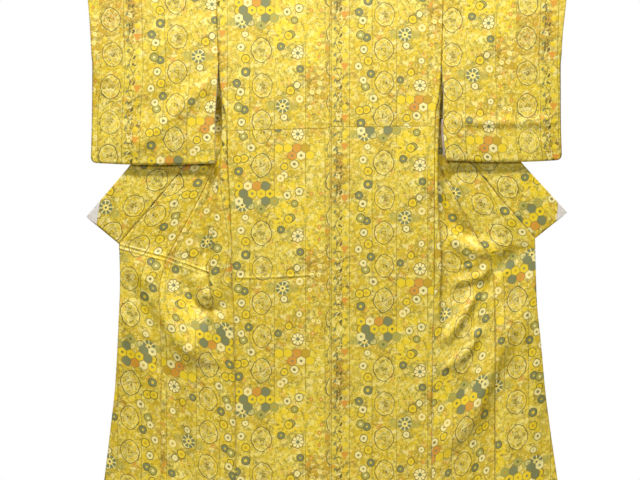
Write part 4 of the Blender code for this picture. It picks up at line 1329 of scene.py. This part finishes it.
# Sleeves: each is one cloth folded over the rod, sewn along the bottom and below the hand opening.
# The inner edge below the arm stays open, so a strip of lining can show there.
CUFF_OPENING = 0.2526
CUFF_CLOSES = 0.2426
CUFF_CLOSED = 0.3426
CUFF_WIDTH = 0.06
CUFF_FLATTENS = 0.55
BOTTOM_FLATTENS = 0.275
BOTTOM_HEIGHT = 0.05
BOTTOM_BOW = 0.005
SLEEVE_CORNER = 0.016
SLEEVE_COLUMNS = 64
EDGE_ROUND = 0.007
SLEEVE_FOLDS = [
    (0.0062, 0.026, 0.020, (-0.300, -0.245), (-0.400, -0.350), (-0.560, -0.490)),
    (-0.0030, 0.018, 0.018, (-0.345, -0.225), (-0.470, -0.330), (-0.600, -0.400)),
    (0.0046, 0.018, 0.007, (0.310, -0.384), (0.460, -0.390), (0.640, -0.386)),
    (0.0020, 0.006, 0.006, (-0.652, -0.262), (-0.568, -0.276)),
    (0.0016, 0.016, 0.014, (-0.345, -0.115), (-0.560, -0.235)),
    (-0.0012, 0.016, 0.016, (-0.400, -0.060), (-0.420, -0.240)),
    (0.0016, 0.012, 0.012, (-0.335, -0.330), (-0.380, -0.480)),
    (0.0014, 0.012, 0.012, (-0.600, -0.330), (-0.560, -0.470)),
    (0.0016, 0.014, 0.014, (0.360, -0.150), (0.560, -0.250)),
    (-0.0012, 0.016, 0.016, (0.470, -0.050), (0.450, -0.260)),
    (0.0016, 0.010, 0.010, (0.340, -0.300), (0.420, -0.375)),
    (0.0012, 0.010, 0.010, (0.600, -0.405), (0.560, -0.478)),
]
SLEEVE_RUNS = curved(SLEEVE_FOLDS)


def sleeve_row(half, down, front):
    """One row of a sleeve, from its inner edge to its outer one, and the flat cloth's places."""
    sign = half["sign"]
    bottom = half["sleeve_bottom"]
    corner_start = bottom + SLEEVE_CORNER
    y, z = hung(down if front else -down)
    outer = at(half["sleeve_outer"], down)
    drop = corner_start - z
    if drop > 0:
        outer -= SLEEVE_CORNER * (1 - math.sqrt(max(1 - (drop / SLEEVE_CORNER) ** 2, 0.0)))
    inner = at(half["side_edge"], down) + SEWN
    if down > ATTACH_DOWN:
        inner = at(half["sleeve_inner"], down)
    settled = ease(ARC_LENGTH, 0.10, down)
    row = []
    flat = []
    for step in range(SLEEVE_COLUMNS + 1):
        share = closer_at_edges(step / SLEEVE_COLUMNS)
        out = inner + (outer - inner) * share
        height = z + BOTTOM_BOW * (2 * share - 1) ** 2 * min(z / bottom, 1.0) if z < 0 else z
        closed = ease(outer - CUFF_WIDTH, outer, out) * ease(CUFF_CLOSES, CUFF_CLOSED, down)
        closed_below = 1 - ease(bottom, bottom + BOTTOM_HEIGHT, z)
        flatter = max(CUFF_FLATTENS * closed, BOTTOM_FLATTENS * closed_below)
        kept = 1 - flatter
        # the sewn edges are folds, which turn in from both faces to one line
        from_bottom = min((z - bottom) / EDGE_ROUND, 1.0)
        kept *= math.sqrt(max(1 - (1 - from_bottom) ** 2, 0.0))
        from_outer = min((outer - out) / EDGE_ROUND, 1.0)
        rounded = math.sqrt(max(1 - (1 - from_outer) ** 2, 0.0))
        kept *= 1 + (rounded - 1) * ease(CUFF_OPENING - 0.03, CUFF_OPENING, down)
        x = sign * out
        relief = fold_depth(SLEEVE_RUNS, x, height) + unevenness(x, height, SLEEVE_WAVES) * settled
        roll = seam_roll((outer - inner) * share) * settled
        roll *= 1 - ease(ATTACH_DOWN - 0.01, ATTACH_DOWN, down)
        depth = y * kept + relief + (roll if not front else -roll)
        row.append(Vector((x, depth, height)))
        flat.append(((outer - inner) * share, down if front else -down))
    return row, flat


for half_name, half_cut in HALVES.items():
    sleeve_end = ARC_LENGTH - half_cut["sleeve_bottom"]
    near_bottom = [sleeve_end - EDGE_ROUND * (1 - math.sin(math.pi / 2 * step / 5)) for step in range(5)]
    sleeve_downs = [ARC_LENGTH * step / 8 for step in range(8)]
    sleeve_downs += [down for down in lengthwise_rows(ARC_LENGTH, sleeve_end - EDGE_ROUND * 1.2,
                                                      [CUFF_OPENING - 0.004, CUFF_OPENING])]
    sleeve_downs += near_bottom + [sleeve_end]
    both = [sleeve_row(half_cut, down, False) for down in reversed(sleeve_downs[1:])]
    both += [sleeve_row(half_cut, down, True) for down in sleeve_downs]
    lay_cloth("sleeve_cloth_" + half_name, "sleeve_" + half_name,
                                   [row for row, flat in both], [flat for row, flat in both],
                                   half_cut["sign"] > 0, half_cut["print_shift"]["sleeve"],
                                   half_cut["sign"], None, True)


# Sleeve lining: below the arm the right sleeve's lining stands out past its open edge by a few
# millimetres, a strip of plain mauve-beige silk.
LINING_TOP = 0.400
LINING_BOTTOM = 0.500
LINING_WIDTH = 0.004
LINING_SET_BACK = 0.0008
LINING_BEND = 0.0008
LINING_COLUMNS = (0.0, 0.3, 0.6, 0.85, 1.0)
LINING_STEPS = 25
strip_rows = []
strip_flat = []
for strip_step in range(LINING_STEPS + 1):
    strip_down = LINING_TOP + (LINING_BOTTOM - LINING_TOP) * strip_step / LINING_STEPS
    strip_y, strip_z = hung(-strip_down)
    strip_outer = at(HALVES["right"]["sleeve_inner"], strip_down) - SEAM_GAP
    strip_row = []
    for strip_share in LINING_COLUMNS:
        strip_x = strip_outer - LINING_WIDTH * strip_share
        strip_depth = strip_y + LINING_SET_BACK + unevenness(strip_x, strip_z, SLEEVE_WAVES)
        strip_depth += LINING_BEND * strip_share ** 3
        strip_row.append(Vector((strip_x, strip_depth, strip_z)))
    strip_rows.append(strip_row)
    strip_flat.append([(spot.x, strip_down) for spot in strip_row])
lining_strip = lay_cloth("sleeve_lining_strip", "sleeve_lining_right", strip_rows, strip_flat, False,
                         (0.0, 0.0), 1)
lining_strip.data.materials.clear()
lining_strip.data.materials.append(HEM_LINING)


# Stitches: pale silk thread, sewn by hand along the hems, the front edges, the sleeve openings and the
# collar's seam. Each stitch is 2 to 3 mm long, and they are a little uneven.
# Half thickness of the thread and its twist, how much of it lies over the cloth, and the height where
# the overlap panels' free edges begin
THREAD = 0.00028
THREAD_TWIST = 14000.0
OVER_CLOTH = 0.4
FREE_EDGE_TOP = -0.73


def object_place(tree):
    """The three coordinates of a place on the piece itself."""
    return split(tree.nodes.new("ShaderNodeTexCoord").outputs["Object"])


def thread_silk():
    """Pale twisted silk thread."""
    material, tree, shader = new_material("thread_silk", {"Roughness": 0.42})
    x, y, z = object_place(tree)
    twist = ((x + y + z) * THREAD_TWIST).step("SINE")
    INKS.update(thread=(0.760, 0.640, 0.210), thread_dark=(0.560, 0.440, 0.110))
    tree.links.new(inked("thread", (twist * 0.5 + 0.5, "thread_dark")), shader.inputs["Base Color"])
    bumped(shader, twist, 0.00005)
    return material


def stitch_maker():
    """A node tree that lays one stitch after another along lines of edges, and its inputs' identifiers."""
    tree = bpy.data.node_groups.new("stitches", "GeometryNodeTree")
    tree.interface.new_socket(name="Geometry", in_out="OUTPUT", socket_type="NodeSocketGeometry")
    kinds = {"Lines": "Geometry", "Spacing": "Float", "Length": "Float", "Thread radius": "Float",
             "Seed": "Int", "Thread": "Material"}
    sockets = {label: tree.interface.new_socket(name=label, in_out="INPUT", socket_type="NodeSocket" + kind)
               for label, kind in kinds.items()}
    given = tree.nodes.new("NodeGroupInput").outputs
    curve = tree.nodes.new("GeometryNodeMeshToCurve")
    resample = tree.nodes.new("GeometryNodeResampleCurve")
    resample.mode = "LENGTH"
    stitch = tree.nodes.new("GeometryNodeMeshUVSphere")
    stitch.inputs["Segments"].default_value = 6
    stitch.inputs["Rings"].default_value = 5
    tangent = tree.nodes.new("GeometryNodeInputTangent")
    turn = tree.nodes.new("FunctionNodeAlignRotationToVector")
    turn.axis = "Z"
    uneven = tree.nodes.new("FunctionNodeRandomValue")
    uneven.data_type = "FLOAT"
    uneven.inputs[2].default_value = 0.75
    uneven.inputs[3].default_value = 1.25
    half = tree.nodes.new("ShaderNodeMath")
    half.operation = "MULTIPLY"
    size = tree.nodes.new("ShaderNodeCombineXYZ")
    instances = tree.nodes.new("GeometryNodeInstanceOnPoints")
    realize = tree.nodes.new("GeometryNodeRealizeInstances")
    painted = tree.nodes.new("GeometryNodeSetMaterial")
    made = tree.nodes.new("NodeGroupOutput")
    for start, end in ((given["Lines"], curve.inputs["Mesh"]),
                       (curve.outputs[0], resample.inputs["Curve"]),
                       (given["Spacing"], resample.inputs["Length"]),
                       (resample.outputs[0], instances.inputs["Points"]),
                       (stitch.outputs["Mesh"], instances.inputs["Instance"]),
                       (tangent.outputs[0], turn.inputs["Vector"]),
                       (turn.outputs[0], instances.inputs["Rotation"]),
                       (given["Seed"], uneven.inputs["Seed"]), (uneven.outputs[1], half.inputs[0]),
                       (given["Length"], half.inputs[1]), (given["Thread radius"], size.inputs[0]),
                       (given["Thread radius"], size.inputs[1]), (half.outputs[0], size.inputs[2]),
                       (size.outputs[0], instances.inputs["Scale"]),
                       (instances.outputs[0], realize.inputs[0]),
                       (realize.outputs[0], painted.inputs["Geometry"]),
                       (given["Thread"], painted.inputs["Material"]),
                       (painted.outputs[0], made.inputs[0])):
        tree.links.new(start, end)
    return tree, {label: socket.identifier for label, socket in sockets.items()}


def over_cloth(name, places):
    """A line just over the patterned face of a laid cloth, through places of its grid."""
    grid, facing = laid[name]
    line = []
    for row, column in places:
        row %= len(grid)
        column %= len(grid[0])
        lengthwise = grid[min(row + 1, len(grid) - 1)][column] - grid[max(row - 1, 0)][column]
        crosswise = grid[row][min(column + 1, len(grid[0]) - 1)] - grid[row][max(column - 1, 0)]
        outwards = lengthwise.cross(crosswise).normalized() * facing
        line.append(grid[row][column] + outwards * THREAD * OVER_CLOTH)
    return line


thread_lines = [over_cloth("collar_cloth", [(row, 1) for row in range(len(laid["collar_cloth"][0]))])]
for half_name in HALVES:
    for piece_name, hem_rows in (("body_cloth_", (1, -2)), ("overlap_cloth_", (-2,))):
        columns = len(laid[piece_name + half_name][0][0])
        thread_lines += [over_cloth(piece_name + half_name, [(hem_row, column) for column in range(columns)])
                         for hem_row in hem_rows]
    overlap_grid = laid["overlap_cloth_" + half_name][0]
    free = [row for row, points in enumerate(overlap_grid) if points[-1].z < FREE_EDGE_TOP]
    thread_lines.append(over_cloth("overlap_cloth_" + half_name, [(row, -3) for row in free]))
    sleeve_grid = laid["sleeve_cloth_" + half_name][0]
    open_rows = [row for row, points in enumerate(sleeve_grid) if points[-1].z > ARC_LENGTH - CUFF_OPENING]
    thread_lines.append(over_cloth("sleeve_cloth_" + half_name, [(row, -3) for row in open_rows]))

thread_mesh = bpy.data.meshes.new("stitches")
thread_points = [point for line in thread_lines for point in line]
thread_edges = []
first_point = 0
for line in thread_lines:
    thread_edges += [(first_point + step, first_point + step + 1) for step in range(len(line) - 1)]
    first_point += len(line)
thread_mesh.from_pydata(thread_points, thread_edges, [])
stitches = placed("stitches", thread_mesh)
stitch_tree, stitch_inputs = stitch_maker()
sewing = stitches.modifiers.new("sewing", "NODES")
sewing.node_group = stitch_tree
for label, value in (("Spacing", 0.0085), ("Length", 0.0013), ("Thread radius", THREAD), ("Seed", 7),
                     ("Thread", thread_silk())):
    sewing[stitch_inputs[label]] = value
made_plain(stitches)
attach(stitches, "root")


# Rod: a plain round bar of planed pale wood, pushed through both sleeves. It is 1.44 m long, so that
# it can be carried at both ends outside the cloth.
ROD_END = 0.7198


def rod_wood():
    """Pale softwood with a fine grain along the rod and darker end grain."""
    material, tree, shader = new_material("rod_wood", {})
    length, y, z = object_place(tree)
    grain = speckle(length * 0.04 + y, z + length * 0.01, 420.0, 3.0, 0.6, 1.0)
    pores = speckle(length * 0.12 + y, z, 1400.0, 2.0, 0.0, 3.0)
    INKS.update(wood=(0.600, 0.430, 0.250), wood_dark=(0.440, 0.285, 0.140), wood_end=(0.380, 0.250, 0.130))
    shade = inked("wood", ((grain - 0.42).risen(4.0), "wood_dark"),
                  ((pores - 0.60).risen(6.0) * 0.5, "wood_dark"),
                  ((length.size() - ROD_END).above(0.0) * 0.7, "wood_end"))
    tree.links.new(shade, shader.inputs["Base Color"])
    tree.links.new((grain * 0.2 + 0.42).socket, shader.inputs["Roughness"])
    bumped(shader, grain * 0.6 + pores * 0.4, 0.0003)
    return material


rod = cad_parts["rod"]
rod.data.materials[0] = rod_wood()


# Setting: a plain pale floor below the hem, a white surround and soft studio light from above.
FLOOR_DROP = 0.02
floor_mesh = bpy.data.meshes.new("floor")
floor_shape = bmesh.new()
bmesh.ops.create_grid(floor_shape, x_segments=1, y_segments=1, size=1.0,
                      matrix=Matrix.Translation((0, -0.1, solid_box[0][2] - FLOOR_DROP)))
floor_shape.to_mesh(floor_mesh)
floor_shape.free()
floor = placed("floor", floor_mesh)
floor_mesh.materials.append(new_material("pale_floor", {"Base Color": (0.70, 0.69, 0.61, 1),
                                                        "Roughness": 0.8})[0])


def soft_light(name, place, target, width, height, power, colour):
    """A rectangular studio light, turned to a place on the garment."""
    lamp = bpy.data.lights.new(name, "AREA")
    lamp.shape = "RECTANGLE"
    lamp.size = width
    lamp.size_y = height
    lamp.energy = power
    lamp.color = colour
    turned = (Vector(target) - Vector(place)).to_track_quat("-Z", "Y").to_matrix().to_4x4()
    placed(name, lamp).matrix_world = Matrix.Translation(place) @ turned


soft_light("key_light", (-0.22, -1.35, 2.5), (0.0, 0.0, -0.5), 1.30, 0.30, 218.0, (0.84, 0.825, 1.0))
soft_light("front_light", (-0.1, -2.7, 0.50), (0.0, 0.0, -0.5), 2.7, 0.8, 31.0, (0.96, 1.0, 1.0))
soft_light("back_light", (0.3, 2.2, 0.8), (0.0, 0.0, -0.7), 1.6, 1.2, 30.0, (1.0, 1.0, 1.0))

surround = bpy.data.worlds.new("surround")
surround.use_nodes = True
room = surround.node_tree
backdrop = room.nodes["Background"]
backdrop.inputs["Color"].default_value = (1.0, 1.0, 1.0, 1)
backdrop.inputs["Strength"].default_value = 1.0
room_light = room.nodes.new("ShaderNodeBackground")
room_light.inputs["Color"].default_value = (1.0, 0.92, 0.70, 1)
room_light.inputs["Strength"].default_value = 0.08
seen = room.nodes.new("ShaderNodeLightPath")
either = room.nodes.new("ShaderNodeMixShader")
room.links.new(seen.outputs["Is Camera Ray"], either.inputs[0])
room.links.new(room_light.outputs[0], either.inputs[1])
room.links.new(backdrop.outputs[0], either.inputs[2])
room.links.new(either.outputs[0], room.nodes["World Output"].inputs["Surface"])
bpy.context.scene.world = surround
bpy.context.scene.view_settings.view_transform = "Standard"

# The camera stands straight before the garment's back, level with the middle of the picture
CAMERA_AWAY = 3.4
PICTURE_WIDTH = 1.731
PICTURE_MIDDLE = (-0.027, -0.703)
SENSOR = 36.0
lens = bpy.data.cameras.new("camera")
lens.sensor_width = SENSOR
lens.lens = SENSOR * CAMERA_AWAY / PICTURE_WIDTH
camera = placed("camera", lens)
camera.matrix_world = (Matrix.Translation((PICTURE_MIDDLE[0], -CAMERA_AWAY, PICTURE_MIDDLE[1]))
                       @ Matrix.Rotation(math.pi / 2, 4, "X"))
bpy.context.scene.camera = camera
